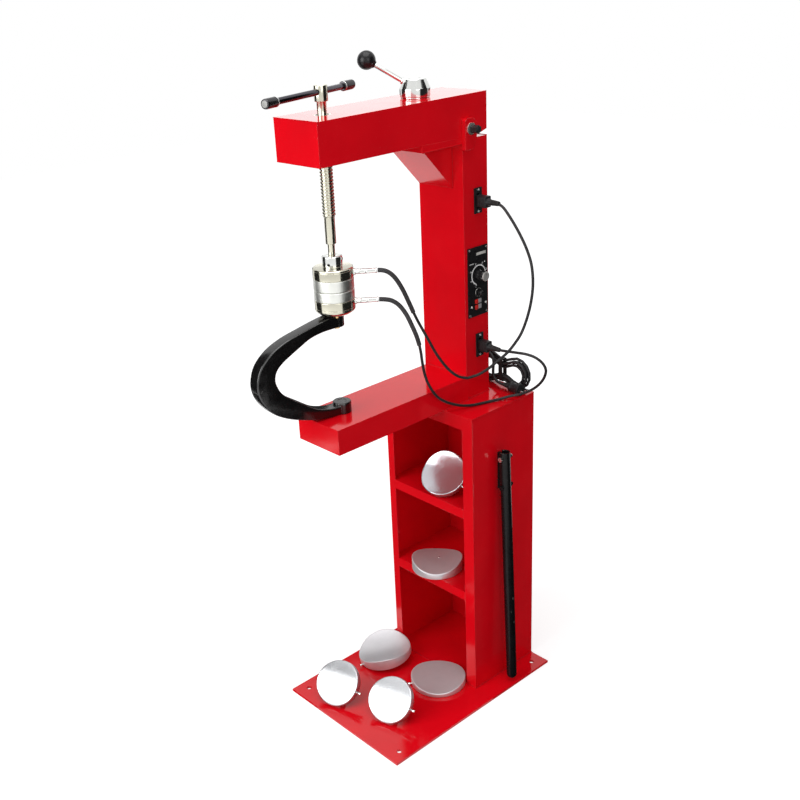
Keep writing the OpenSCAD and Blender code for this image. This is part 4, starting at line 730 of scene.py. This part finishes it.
# Clamp lever: a rod from the hub, with a collar at its root and a ball at its end
BALL_R, LEVER_Z, LEVER_REACH, LEVER_RISE, LEVER_TURN = 20.0, 1501.0, 101.0, 63.0, 226.0
lever = heading(LEVER_TURN) * LEVER_REACH + UP * LEVER_RISE
lever_at = axes((COL_X, HUB_Y, LEVER_Z), lever, UP)
lever_len = lever.length
collar = lathe([(5, 29.5), (7.2, 29.5), (7.2, 32.2), (5, 33.2)], lever_at, "chrome", 40, 0.5)
clamp_rod = rod(5, 24, lever_len - 17, lever_at, "chrome", 40, 0.2)
dressed("clamp_rod", [clamp_rod, collar], "clamp_lever")
ball = [(BALL_R * sin(pi * k / 36), lever_len - BALL_R * cos(pi * k / 36)) for k in range(2, 37)]
ball_foot = ball[0][1]
ball = [(0, ball_foot - 1.2), (7.0, ball_foot - 1.2), (7.4, ball_foot - 0.6)] + [
    p for p in ball if p[0] > 7 or p[1] > lever_len]
dressed("clamp_ball", [lathe(ball, lever_at, "ball", 72)], "clamp_lever")

# Screw: neck, plain stretch, helical thread, shank and the cross-drilled boss
SCREW = upright(COL_X, SCREW_Y)
PITCH, THREAD_LOW, THREAD_HIGH, CORE, DEPTH, RUN_OUT = 7.0, 1274.0, 1479.5, 12.0, 2.0, 2.0
TOOTH_SHARE = [(0.0, 0.05), (0.0, 0.2), (0.12, 0.23), (0.88, 0.36), (1.0, 0.4), (1.0, 0.8), (0.88, 0.84),
               (0.12, 0.97)]


def thread(n=64):
    """A helical thread, whose teeth fade into the core at both ends."""
    turns = int((THREAD_HIGH - THREAD_LOW) / PITCH) + 3
    rows = [(CORE + DEPTH * r, (m - 1 + z) * PITCH) for m in range(turns) for r, z in TOOTH_SHARE]
    count = len(rows)
    verts, uvs, faces = [], [], []
    for i in range(n):
        a = 2 * pi * i / n
        for r, z in rows:
            h = THREAD_LOW + z + PITCH * i / n
            inside = min(THREAD_HIGH, max(THREAD_LOW, h))
            if h < THREAD_LOW + RUN_OUT:
                r = min(r, CORE + (inside - THREAD_LOW) * 1.2)
            elif h > THREAD_HIGH - RUN_OUT:
                r = min(r, CORE + (THREAD_HIGH - inside) * 1.2)
            verts.append(SCREW @ (Vector((r * cos(a), r * sin(a), inside)) * MM))
            uvs.append((i / n, h * MM))
    for i in range(n):
        j, shift = (i + 1, 0) if i < n - 1 else (0, len(TOOTH_SHARE))
        for s in range(count - 1 - shift):
            faces.append((i * count + s, j * count + s + shift, j * count + s + 1 + shift, i * count + s + 1))
    return shell(verts, faces, "thread", uvs, 40.0)


core = lathe(
    [(0, 1171.2), (7.6, 1171.2), (7.6, 1215.6), (8.4, 1216.2), (10.6, 1216.2), (11.4, 1217.2),
     (11.4, THREAD_LOW - 1.4), (CORE + 0.04, THREAD_LOW - 0.2), (CORE + 0.04, THREAD_HIGH + 0.4),
     (10, THREAD_HIGH + 0.9), (10, 1507.6), (13.2, 1507.6), (14, 1508.4), (14, 1538.4), (12.8, 1539.5),
     (0, 1539.5)], SCREW, "nickel", 96, 0.35, 2)
dressed("spindle", [core, thread()], "screw")

# Tommy bar and its two knobs, each with a bright ring
TOMMY_Z, TOMMY_LENGTH, TOMMY_PUSHED, TOMMY_TURN, TOMMY_R = 1526.7, 290.0, 34.0, 104, 6.5
BAR_INSET, KNOB_ROOT = 14.0, 36.0
tommy_dir = heading(TOMMY_TURN)
tommy_root = Vector((COL_X, SCREW_Y, TOMMY_Z)) - tommy_dir * (TOMMY_LENGTH / 2 + TOMMY_PUSHED)
tommy_at = axes(tommy_root, tommy_dir, UP)
tommy_bar = rod(TOMMY_R, BAR_INSET, TOMMY_LENGTH - BAR_INSET, tommy_at, "tommy_black", 48, 0.4)
dressed("tommy_bar", [tommy_bar], "tommy")
knobs = []
for start, out in ((KNOB_ROOT, -1), (TOMMY_LENGTH - KNOB_ROOT, 1)):
    at = axes(tommy_root + tommy_dir * start, tommy_dir * out, UP)
    knobs += [lathe([(6.4, 0), (8.6, 0, 0.5), (9.4, 0.8, 1), (10, 4, 1), (10, 32, 1.5), (9.2, 35.2, 1.5),
                     (7.2, 36, 0.8), (0, 36)], at, "knob_black"),
              lathe([(9.3, 2.2), (10.12, 2.5), (10.12, 3.7), (9.3, 4.0)], at, "chrome"),
              lathe([(7.2, 35.7), (6.8, 36.1), (0, 36.1)], at, "knob_end", 48, 0.2, 2)]
dressed("tommy_knobs", knobs, "tommy")


# Swivel collar with its set screw and the end of a pin's bore
def screw_head(centre, out, r, t, mat, slot_w, crossed=False):
    """A round screw head of thickness t on a face, with one slot or two crossed ones, drawn as dark slabs of
    painted shade.
    """
    at = axes(centre, out, UP if abs(out.normalized().z) < 0.9 else (1, 0, 0))
    head = lathe([(0, -0.6), (r, -0.6), (r, t * 0.55, r * 0.3), (r * 0.62, t, r * 0.25), (0, t)], at, mat, 24)
    if crossed:
        slot = r * 1.35
        return [head, cut(slot, slot_w, t - 0.1, t + 0.06, at), cut(slot_w, slot, t - 0.1, t + 0.06, at)]
    return [head, cut(r * 1.9, slot_w, t - 0.15, t + 0.05, at)]


COLLAR_R, COLLAR_LOW, COLLAR_TOP = 22.0, 1167.1, 1192.0
SET_SCREW_TURN, SET_SCREW_Z, BORE_TURN, BORE_Z, BORE_R = 35, 1184.0, -62, 1175.0, 3.3
centre = Vector((COL_X, SCREW_Y, 0))
collar = lathe([(7.7, COLLAR_TOP - 1), (8.2, COLLAR_TOP, 0.3), (20, COLLAR_TOP, 0.8),
                (COLLAR_R, COLLAR_TOP - 2, 0.8), (COLLAR_R, COLLAR_LOW + 2.3, 0.4),
                (21.2, COLLAR_LOW + 1.3, 0.3), (21.2, COLLAR_LOW, 0.2), (0, COLLAR_LOW)], SCREW, "chrome", 96)
set_screw_out = heading(SET_SCREW_TURN)
set_screw = screw_head(centre + set_screw_out * COLLAR_R + UP * SET_SCREW_Z, set_screw_out, 3.2, 1.6,
                       "zinc_uv", 0.9)
# The bore's end is a dark disc of painted shade on the collar
bore = lathe([(BORE_R, COLLAR_R - 1), (BORE_R, COLLAR_R + 0.12), (0, COLLAR_R + 0.12)],
             axes(centre + UP * BORE_Z, heading(BORE_TURN), UP), "hole", 24)
piece("collar_dressed", [collar] + set_screw + [bore], "press_head", ["swivel_collar"])


# Heaters: chromed caps, ferrules with grooves, and turned plates
FERRULE_TURN, FERRULE_HIGH, FERRULE_LOW = 50, 1152.0, 1087.2


def ferrule(z):
    """A ferrule that leads a lead out of a cap, with two crimped grooves."""
    at = axes(centre + UP * z, heading(FERRULE_TURN), UP)
    return lathe([(0, 42.5), (8.0, 43.2), (8.0, 46.5), (6.2, 47.2), (6.2, 55), (5.6, 55.6), (5.6, 57),
                  (6.1, 57.6), (6.1, 67), (6.0, 69), (5.5, 69.6), (5.5, 71), (5.9, 71.6), (5.6, 90.5),
                  (6.0, 91.2), (6.0, 93.4), (5.2, 94), (0, 94)], at, "chrome", 40, 0.3, 2)


HEATER_R, GROOVE_R, BOW_LOW, BOW_TOP = 44.0, 43.4, 830.3, 1064.2
upper_cap = lathe(
    [(0, 1167), (41.5, 1167, 1), (HEATER_R, 1164.5, 1.4), (HEATER_R, 1162.6, 0.2), (GROOVE_R, 1162.2, 0.2),
     (GROOVE_R, 1161.4, 0.2), (HEATER_R, 1161, 0.2), (HEATER_R, 1144.2, 0.6), (43.3, 1143.1, 0.4),
     (41, 1143.1)], SCREW, "nickel", 128)
piece("upper_cap_dressed", [upper_cap, ferrule(FERRULE_HIGH)], "press_head",
      ["upper_heater_cap"])
lower_cap = lathe(
    [(41, 1096.1), (43.3, 1096.1, 0.4), (HEATER_R, 1095.2, 0.6), (HEATER_R, 1079.6, 0.2),
     (GROOVE_R, 1079.2, 0.2), (GROOVE_R, 1078.4, 0.2), (HEATER_R, 1078.0, 0.2), (HEATER_R, 1072.6, 6.0),
     (35.5, BOW_TOP, 5.0), (0, BOW_TOP)], SCREW, "nickel", 128, n=7)
piece("lower_cap_dressed", [lower_cap, ferrule(FERRULE_LOW)], "heater_bow",
      ["lower_heater_cap"])
upper_plate = lathe(
    [(0, 1143.0), (43.0, 1143.0, 0.3), (43.6, 1142.4, 0.4), (HEATER_R, 1141.6, 0.5), (HEATER_R, 1120.2, 0.8),
     (42.6, 1118.5, 0.8), (0, 1118.5)], SCREW, "aluminium", 128)
piece("upper_plate_dressed", [upper_plate], "press_head", ["upper_heater_plate"])
lower_plate = lathe(
    [(0, 1118.2), (42.6, 1118.2, 0.8), (HEATER_R, 1116.8, 0.8), (HEATER_R, 1097.6, 0.5), (43.6, 1096.8, 0.4),
     (43.0, 1096.2, 0.3), (0, 1096.2)], SCREW, "aluminium", 128)
piece("lower_plate_dressed", [lower_plate], "heater_bow", ["lower_heater_plate"])

# Bow's outline, as shares of its reach and height, from its top round its back and up its inside
BOW_REACH, BOW_T, BOW_TURN, BOW_H, BOW_ROOT = 221.0, 32.0, 265.0, BOW_TOP - BOW_LOW, 2.0
OUTER_SHARE = [(0.08, 0.99), (0.24, 0.965), (0.44, 0.925), (0.62, 0.885), (0.77, 0.83), (0.88, 0.76),
               (0.96, 0.67), (1, 0.55), (0.995, 0.45), (0.95, 0.345), (0.85, 0.23), (0.7, 0.14),
               (0.52, 0.072), (0.34, 0.024), (0.16, 0.003)]
INNER_SHARE = [(0.1, 0.085), (0.2, 0.095), (0.35, 0.14), (0.51, 0.24), (0.64, 0.325), (0.735, 0.405),
               (0.785, 0.5), (0.79, 0.57), (0.76, 0.635), (0.69, 0.69), (0.6, 0.735), (0.48, 0.79),
               (0.36, 0.84), (0.22, 0.865), (0.08, 0.87)]
BOSS_SHARE, HEAD_SHARE = 0.085, 0.87
HEAD_LOW = BOW_H * HEAD_SHARE

# Brass bolt under the lower heater, with the small earth screw beside it
BOLT_H, BOLT_GAP, EARTH_TURN, EARTH_AWAY, EARTH_LOW, EARTH_H = 5.4, 0.3, 325, 22.0, 1058.6, 2.8
bolt_z = BOW_LOW + HEAD_LOW - BOLT_GAP
earth_at = axes(centre + heading(EARTH_TURN) * EARTH_AWAY + UP * EARTH_LOW, UP)
bolts = [hexagon(13.6, bolt_z - BOLT_H, bolt_z, SCREW, "brass"), hexagon(7.4, 0, EARTH_H, earth_at, "brass"),
         rod(2.0, -1.2, BOW_TOP - EARTH_LOW, earth_at, "brass", 24, 0.3),
         rod(4.4, EARTH_H, EARTH_H + 1, earth_at, "brass", 32)]
dressed("heater_bolt", bolts, "heater_bow")


def soft_prism(outline, half, r, at, mat, n=5):
    """An outline of (x, z) points, drawn out to half on both sides along y, with edges rounded by r."""
    count = len(outline)
    pts = [Vector(p) for p in outline]
    area = sum(a.x * b.y - b.x * a.y for a, b in zip(pts, pts[1:] + pts[:1]))
    inward = []
    for i in range(count):
        d = (pts[(i + 1) % count] - pts[i - 1]).normalized()
        inward.append(Vector((-d.y, d.x)) * math.copysign(1, area))
    rows = [(r * (1 - cos(pi / 2 * k / n)), half - r + r * sin(pi / 2 * k / n)) for k in range(n + 1)]
    rows = [(inset, -y) for inset, y in rows[::-1]] + rows
    verts = [at @ (Vector((p.x + q.x * inset, y, p.y + q.y * inset)) * MM)
             for inset, y in rows for p, q in zip(pts, inward)]
    return shell(verts, round_rows(len(rows), count) + ends(len(rows), count), mat, None, 40.0)


def bow_curve(shares):
    return [p.xy for p in smooth_path([(x * BOW_REACH, y * BOW_H, 0) for x, y in shares], 4)]


# Bow: a thick bar with soft edges, its boss and its head
bow_at = axes((COL_X, SCREW_Y, BOW_LOW), UP, heading(BOW_TURN))
bow_outline = ([(BOW_ROOT, BOW_H)] + bow_curve(OUTER_SHARE) + [(BOW_ROOT, 0), (BOW_ROOT, BOW_H * BOSS_SHARE)]
               + bow_curve(INNER_SHARE) + [(BOW_ROOT, HEAD_LOW)])
bow_bar = soft_prism(bow_outline, BOW_T / 2, 3.2, bow_at, "iron")
bow_boss = lathe([(9.1, 0), (20.2, 0, 0.5), (21, 0.8, 0.5), (21, 24, 1.5), (19.4, 26, 1.2), (10.5, 26, 0.6),
                  (9.1, 25)], bow_at, "iron", 96, n=4)
bow_head = lathe([(4, HEAD_LOW), (16, HEAD_LOW, 1), (17, HEAD_LOW + 1.4, 1), (17, BOW_H - 0.8, 0.5),
                  (16.4, BOW_H, 0.5), (4, BOW_H)], bow_at, "iron", 96)
dressed("bow", [bow_bar, bow_boss, bow_head], "heater_bow")

# Pads: discs with one curved face, a soft rim, a spigot and a rim screw
SPIGOT_R, RIM_R, PAD_SIDES, FLOOR_Z, SHELF_LOW, SHELF_HIGH = 7.0, 2.2, 96, 6, 286, 521
RING_SHARE = [0.0, 0.15, 0.3, 0.45, 0.6, 0.75, 0.88, 0.95]


def pad(place, turned, lean, d, t, curve, hollow, face_turn, screw_turn, mat, face_screw=False):
    """The meshes of a pad of diameter d, whose hollow or bulging face is curved about one line."""
    r, fold = d / 2, radians(face_turn)
    bend = (r * r + curve * curve) / (2 * curve)
    at = upright(place[0], place[1], place[2] + 0.3 + r * sin(radians(lean)))
    at = at @ Matrix.Rotation(radians(turned), 4, "Z") @ Matrix.Rotation(radians(lean), 4, "X")

    def face_z(x, y):
        across = y * cos(fold) - x * sin(fold)
        rise = bend - math.sqrt(max(0.0, bend * bend - across * across))
        return t - curve + rise if hollow else t - rise
    quarter = [pi / 2 * k / 5 for k in range(6)]
    top = [(r * 0.975 * share, 0.0) for share in RING_SHARE]
    top += [(r - RIM_R + RIM_R * sin(a), RIM_R * (1 - cos(a))) for a in quarter]
    low = [(r, 1.4), (r - 0.5, 0.5), (r - 1.4, 0.0), (r * 0.5, 0.0), (0.0, 0.0)]
    verts, uvs = [], []
    for i, (a, h) in enumerate(top + low):
        on_face = i < len(top)
        for k in range(PAD_SIDES):
            spot = heading(360 * k / PAD_SIDES) * a
            spot.z = face_z(spot.x, spot.y) - h if on_face else h
            verts.append(at @ (spot * MM))
            uvs.append((k / PAD_SIDES, (a if on_face else d - a) * MM))
    parts = [shell(verts, round_rows(len(top + low), PAD_SIDES, True), mat, uvs, 40.0, merge=True)]
    if lean:
        foot = -(r - SPIGOT_R) * math.tan(radians(lean))
        parts.append(lathe([(0, 1), (5.4, 1, 1), (SPIGOT_R, 0, 1), (SPIGOT_R, foot + 1, 0.8),
                            (SPIGOT_R - 0.8, foot, 0.8), (0, foot)], at, mat, 40))
    out, tilt = heading(screw_turn), at.to_3x3()
    seat = at @ ((out * (r - 1) + UP * ((t - curve) * 0.4 + 1.75)) * MM) / MM
    screw_at = axes(seat, tilt @ out, tilt @ UP)
    # The rim screw's slot is a dark slab of painted shade
    parts += [lathe([(0, 0), (2.5, 0), (2.5, 5.5, 0.3), (3.5, 5.8, 0.3), (3.5, 10.6, 0.8), (2.6, 12, 0.6),
                     (0, 12)], screw_at, "screw_uv", 28), cut(6.4, 1.0, 11.4, 12.04, screw_at)]
    if face_screw:
        spot = at @ (Vector((r * 0.3, -r * 0.05, t - curve - 0.3)) * MM) / MM
        parts += screw_head(spot, tilt @ UP, 3.2, 1.4, "screw_uv", 0.7, True)
    return parts


# Of each pad: its body, place, turn, lean, diameter, thickness, depth of its curve, whether it is hollow,
# the turn of the curve's line and of the rim screw, its metal, and whether its face has a screw too
PADS = {
    "pad_shelf_upper": ("pad_a", (6, 104, SHELF_HIGH), 18, 45, 117, 24, 12, True, 0, -20, "pad_mirror"),
    "pad_front_left": ("pad_e", (-84, -210, FLOOR_Z), 18, 45, 117, 20, 9, False, 0, -8, "pad_bright"),
    "pad_front_right": ("pad_f", (62, -161, FLOOR_Z), 18, 45, 117, 20, 9, False, 0, -8, "pad_bright"),
    "pad_shelf_lower": ("pad_b", (-25, 98, SHELF_LOW), 130, 0, 132, 32, 16, True, 0, 10, "pad_turned", True),
    "pad_floor_left": ("pad_c", (-122, -14, FLOOR_Z), -40, 9, 143, 32, 16, True, 90, 300, "pad_turned"),
    "pad_floor_right": ("pad_d", (50, 14, FLOOR_Z), 130, 0, 143, 20, 9, True, 0, 110, "pad_turned"),
}
for name, (body, *rest) in PADS.items():
    dressed(name, pad(*rest), body)

# Control panel: printed dial, marks and lamps
FACE_X, PANEL_Y, PANEL_Z, PANEL_W, PANEL_H = 54.0, 182.3, 1056.0, 66, 166
TIMER_Y, TIMER_Z = PANEL_Y + PANEL_W * 0.03, PANEL_Z + PANEL_H * 0.095
FUSE_Y, FUSE_Z = PANEL_Y + PANEL_W * 0.02, PANEL_Z - PANEL_H * 0.16
DIAL_START, DIAL_SWEEP, TICKS, ARC_STEPS, DIAL_LOW, DIAL_HIGH, NUMBERS_R = 160, 280, 24, 40, 21.6, 24.0, 29
SEGMENTS = {"0": "abcdef", "1": "bc", "2": "abged", "3": "abgcd", "4": "fgbc", "5": "afgcd", "6": "afgedc"}
STROKES = {"a": (0, 2, 0), "b": (1, 1, 90), "c": (1, -1, 90), "d": (0, -2, 0), "e": (-1, -1, 90),
           "f": (-1, 1, 90), "g": (0, 0, 0)}


def on_panel(y, z, out=0.0):
    """A matrix on the panel's face: x to the viewer's right, y up, z out of the panel."""
    return sideways(FACE_X + out, y, z)


def placed(at, x, y, angle=0.0):
    return at @ Matrix.Translation(Vector((x, y, 0)) * MM) @ Matrix.Rotation(radians(angle), 4, "Z")


def mark(at, angle, r0, r1, w, mat="print"):
    return slab((-w / 2, r0, 0.0), (w / 2, r1, 0.14), 0.03, mat, placed(at, 0, 0, angle))


def digit(char, at, size=0.85):
    """A printed digit of straight strokes."""
    strokes = [STROKES[s] for s in SEGMENTS[char]]
    return [slab((-size, -0.16, 0), (size, 0.16, 0.13), 0.02, "print", placed(at, x * size, y * size, a))
            for x, y, a in strokes]


dial = on_panel(TIMER_Y, TIMER_Z)
arc = [radians(DIAL_START - DIAL_SWEEP + DIAL_SWEEP * k / ARC_STEPS) for k in range(ARC_STEPS + 1)]
arc = [(-DIAL_LOW * sin(a), DIAL_LOW * cos(a)) for a in arc] + [
    (-DIAL_HIGH * sin(a), DIAL_HIGH * cos(a)) for a in arc[::-1]]
prints = [prism(arc, 0.0, 0.13, 0.03, "print", dial, rims=False, seg=1)]
for k in range(TICKS + 1):
    reach, width = (25.2, 1.2) if k % 4 else (26.4, 1.8)
    prints.append(mark(dial, DIAL_START - DIAL_SWEEP * k / TICKS, 23.9, reach, width))
prints += [mark(on_panel(PANEL_Y + 6, PANEL_Z + 66), 90, -21, 11, 6.5, "dash_grey"),
           mark(on_panel(PANEL_Y - 21, PANEL_Z + 45), 90, -7, 7, 1.5),
           lathe([(0, 0.13), (1.5, 0.13), (1.6, 0)], on_panel(PANEL_Y + 22.7, PANEL_Z + 43), "print", 20)]
for k in range(7):
    a = radians(DIAL_START - DIAL_SWEEP * k / 6)
    text = str(k * 10)
    for i, char in enumerate(text):
        prints += digit(char, placed(dial, (i - (len(text) - 1) / 2) * 2.7 - NUMBERS_R * sin(a),
                                     NUMBERS_R * cos(a)))
fuse_ring = lathe([(9.4, 0.3), (9.6, 0.7), (11.2, 0.7), (11.4, 0)], on_panel(FUSE_Y, FUSE_Z), "zinc_uv", 60)
piece("panel_print", prints + [fuse_ring], "stand")
lamps = []
for at in (on_panel(PANEL_Y + 25, PANEL_Z - 56), on_panel(PANEL_Y - 23, PANEL_Z - 58)):
    lamps += [lathe([(0, -0.5), (2.6, -0.5), (2.6, 0.6, 0.5), (1.8, 1.6, 0.7), (0, 1.8)], at, "lamp", 24),
              lathe([(2.5, -0.2), (3.4, -0.2), (3.4, 0.5), (2.5, 0.8)], at, "chrome", 24)]
piece("panel_lamps", lamps, "stand")

# Timer's knob: a skirt, a ribbed grip and a silver face
KNOB_SIDES = 72
knob_at = on_panel(TIMER_Y, TIMER_Z, 0.3)
skirt = lathe([(0, 0), (12.9, 0, 0.2), (13, 0.6, 0.4), (11.6, 7.0, 0.8), (10.6, 7.6, 0.5), (0, 7.6)], knob_at,
              "gloss", KNOB_SIDES)
grip = []
for z, share in ((6.5, 1.0), (20.5, 0.95), (21.6, 0.92), (22.2, 0.86)):
    for i in range(KNOB_SIDES):
        rib = heading(360 * i / KNOB_SIDES) * share * (11.95 if i % 2 else 11.25)
        grip.append(knob_at @ ((rib + UP * z) * MM))
grip = shell(grip, round_rows(4, KNOB_SIDES) + ends(4, KNOB_SIDES), "gloss", None, 25.0)
face = lathe([(11.2, 21.4), (11.2, 22.7, 0.3), (10.2, 23.5, 0.4), (0, 23.5)], knob_at, "knob_face", 60)
# The pointer is a dark slab of painted shade that stands in for a groove
pointer = slab((-0.6, 2.5, 23.4), (0.6, 7.4, 23.58), 0.03, "hole", knob_at)
skirt_mark = slab((-0.7, 9.6, 5.6), (0.7, 12.2, 6.6), 0.1, "print", knob_at)
dressed("timer_knob", [skirt, grip, face, pointer, skirt_mark], "timer")

# Fuse holder's cap, with ribs and a slot drawn as a dark slab of painted shade
fuse_at = on_panel(FUSE_Y, FUSE_Z, 1.8)
fuse = lathe([(0, 0), (5.9, 0, 0.3), (5.9, 8.2, 0.6), (5.0, 9.4, 0.5), (4.4, 10.7, 0.5), (0, 10.8)], fuse_at,
             "gloss")
ribs = [slab((-0.35, 5.6, 0.8), (0.35, 6.2, 7.6), 0.12, "gloss", placed(fuse_at, 0, 0, 20 * k))
        for k in range(18)]
dressed("fuse_cap", [fuse, cut(8.0, 1.2, 10.6, 10.86, fuse_at)] + ribs, "fuse")

# Rockers in two colours, tipped about an upright axis: the high side is grey, the low side red
ROCKER_Y, ROCKER_HALF, ROCKER_H, ROCKER_TIP = PANEL_Y - PANEL_W * 0.05, 10.26, 10.4, 9
half_rocker = [(0, ROCKER_HALF), (4.5, ROCKER_HALF), (3.6, ROCKER_HALF * 0.45), (2.7, 0), (0, 0)]
for which, z in (("upper", 1009.68), ("lower", 996.08)):
    at = placed(upright(FACE_X, ROCKER_Y, z), 0, 0, ROCKER_TIP)
    parts = [prism(pts, -ROCKER_H / 2, ROCKER_H / 2, 0.35, mat, at) for mat, pts in (
        ("switch_red", [(x, -y) for x, y in half_rocker]), ("switch_grey", half_rocker[::-1]))]
    parts.append(rod(2.2, -ROCKER_H / 2, ROCKER_H / 2, at, "plastic", 24))
    dressed("rocker_" + which, parts, "switch_" + which)

# Plugs in the sockets
SOCKET_X, SOCKET_Y, BOOT_END = 54.5, 186.12, 116.5
SOCKETS = {"upper": 1245.0, "lower": 899.0}
for which, z in SOCKETS.items():
    at = sideways(SOCKET_X, SOCKET_Y, z)
    parts = [slab((-5.5, -13, 0), (5.5, 13, 1.4), 0.4, "plastic", at, 2),
             slab((-10, -13, 1.4), (10, 13, 30), 2.6, "plastic", at, 4),
             lathe([(0, 29), (9.4, 29, 0.5), (9.2, 31, 1.5), (6.6, 38, 1), (0, 38)], at, "plastic", 40)]
    parts += [slab((x, -9.5, low), (x + 0.9, 9.5, low + 2), 0.35, "plastic", at, 2)
              for low in (8, 13, 18) for x in (9.6, -10.5)]
    parts.append(ribbed_boot(sideways(BOOT_END, SOCKET_Y, z, -1), 5.0, 6.5, 24.0))
    dressed("plug_" + which, parts, "stand")

# Domes with crossed slots on the round screws of the panel and the sockets, the slots dark slabs of painted
# shade
HEAD_T, PANEL_SCREW_Y, PANEL_SCREW_Z, SOCKET_SCREW_Z = 1.8, 28, 78, 24.5
screws = [("screw_dark", FACE_X, PANEL_Y + side * PANEL_SCREW_Y, PANEL_Z + end * PANEL_SCREW_Z)
          for side in (-1, 1) for end in (-1, 1)]
screws += [("screw_pale", SOCKET_X, SOCKET_Y, z + end * SOCKET_SCREW_Z)
           for z in SOCKETS.values() for end in (-1, 1)]
domes = []
for steel, x, y, z in screws:
    at = sideways(x + HEAD_T, y, z)
    domes += [lathe([(0, -0.3), (2.9, -1.6), (2.9, -0.8, 0.5), (1.7, 0.35, 0.6), (0, 0.45)], at, steel, 28),
              cut(4.2, 0.7, 0.36, 0.5, at, 0.02), cut(0.7, 4.2, 0.36, 0.5, at, 0.02)]
piece("panel_screw_faces", domes, "stand")

# Pale washers on both ends of the pivot bolt
PIVOT_RIGHT, PIVOT_LEFT, PIVOT_Y, PIVOT_Z = 63.5, -99.5, 155.8, 1409.0
washers = [lathe([(9, 0.02), (12.8, 0.02), (13.1, 0.5), (13.1, 2.0), (12.6, 2.56), (9, 2.56)],
                 sideways(x, PIVOT_Y, PIVOT_Z, out), "washer", 60, 0.3, 2)
           for x, out in ((PIVOT_RIGHT, 1), (PIVOT_LEFT, -1))]
piece("pivot_washers", washers, "stand")


# Floor, cards and lamps, in metres
def stage_plane(name, width, length, at, mat):
    corners = [(-width, -length), (width, -length), (width, length), (-width, length)]
    me = bpy.data.meshes.new(name)
    me.from_pydata([tuple(at @ Vector((x / 2, y / 2, 0))) for x, y in corners], [], [(0, 1, 2, 3)])
    me.materials.append(mat)
    return in_scene(name, me)


def paper(name, level):
    """Plain glowing paper of one grey level, white at 1."""
    mat = bpy.data.materials.new(name)
    tree = Nodes(mat)
    tree.t.nodes.clear()
    glow = tree.node("ShaderNodeEmission", Color=(1, 1, 1, 1), Strength=level)
    tree.node("ShaderNodeOutputMaterial", Surface=glow.outputs[0])
    return mat


def look_at(place, target):
    m = (Vector(target) - Vector(place)).to_track_quat("-Z", "Y").to_matrix().to_4x4()
    m.translation = Vector(place)
    return m


def mirrored_only(ob):
    """Lets only reflections show a card."""
    for ray in ("camera", "diffuse", "shadow", "transmission", "volume_scatter"):
        setattr(ob, "visible_" + ray, False)
    return ob


DARK = paper("dark_card", 0.02)


def card(name, turned, away, width, top, foot=0.02, mat=DARK):
    """An upright card that faces the object."""
    place = heading(turned) * away + UP * (foot + top) / 2
    return mirrored_only(stage_plane(name, width, top - foot, look_at(place, UP * place.z), mat))


def floor_card(name, turned, away, size):
    """A dark card that lies on the floor beside the object."""
    at = Matrix.Rotation(radians(turned), 4, "Z") @ Matrix.Translation(Vector((away, 0, 0.002)))
    return mirrored_only(stage_plane(name, size, size, at, DARK))


def lamp(name, place, size, power):
    data = bpy.data.lights.new(name, "AREA")
    data.shape = "RECTANGLE"
    data.size, data.size_y = size, size
    data.energy = power
    return in_scene(name, data, look_at(place, (0, 0, 0.9)))


floor_mat = Mat("floor_white", (0.6, 0.6, 0.6), Roughness=0.6, Specular_IOR_Level=0.0,
                Emission_Color=(1, 1, 1, 1))
floor_mat.set("Base Color", floor_mat.mix(floor_mat.noise(3.0), (0.58, 0.58, 0.58), (0.62, 0.62, 0.62)))
away = floor_mat.node("ShaderNodeVectorMath", p_operation="LENGTH", i0=floor_mat.coords()).outputs["Value"]
fade = floor_mat.spread(away, 0.5, 2.6, 0.62, 0.85)
floor_mat.set("Emission Strength", floor_mat.times(floor_mat.shown(), fade))
# Only the top of the upper arm mirrors the far card, which is bright
stage = [stage_plane("floor", 16, 16, Matrix.Identity(4), floor_mat.done()),
         card("card_right", 30, 1.7, 2.4, 2.72), card("card_back", 95, 1.9, 1.7, 1.37),
         card("card_far", 150, 1.9, 1.6, 1.37), card("card_left", 218, 1.8, 1.5, 2.72),
         card("far_card", 138, 9.0, 4.6, 3.4, 1.6, paper("bright_card", 1.7)),
         floor_card("low_card_right", 36, 1.0, 1.6), floor_card("low_card_left", 218, 1.0, 1.5),
         lamp("lamp_front", (-0.5, -3.1, 2.0), 2.3, 75.5), lamp("lamp_right", (2.9, -1.1, 2.1), 1.6, 17.0),
         lamp("lamp_top", (0.2, -0.3, 3.6), 2.2, 50.0)]

# World: paler in reflections and behind the object than as light on it
world = bpy.data.worlds.new("studio")
bpy.context.scene.world = world
sky = Nodes(world)
sky.t.nodes.clear()
sky_level = sky.spread(sky.shown(), 0.0, 1.0, 0.36, 1.0)
sky_glow = sky.node("ShaderNodeBackground", Color=(1, 1, 1, 1), Strength=sky_level)
sky.node("ShaderNodeOutputWorld", Surface=sky_glow.outputs[0])
bpy.context.scene.view_settings.view_transform = "Standard"
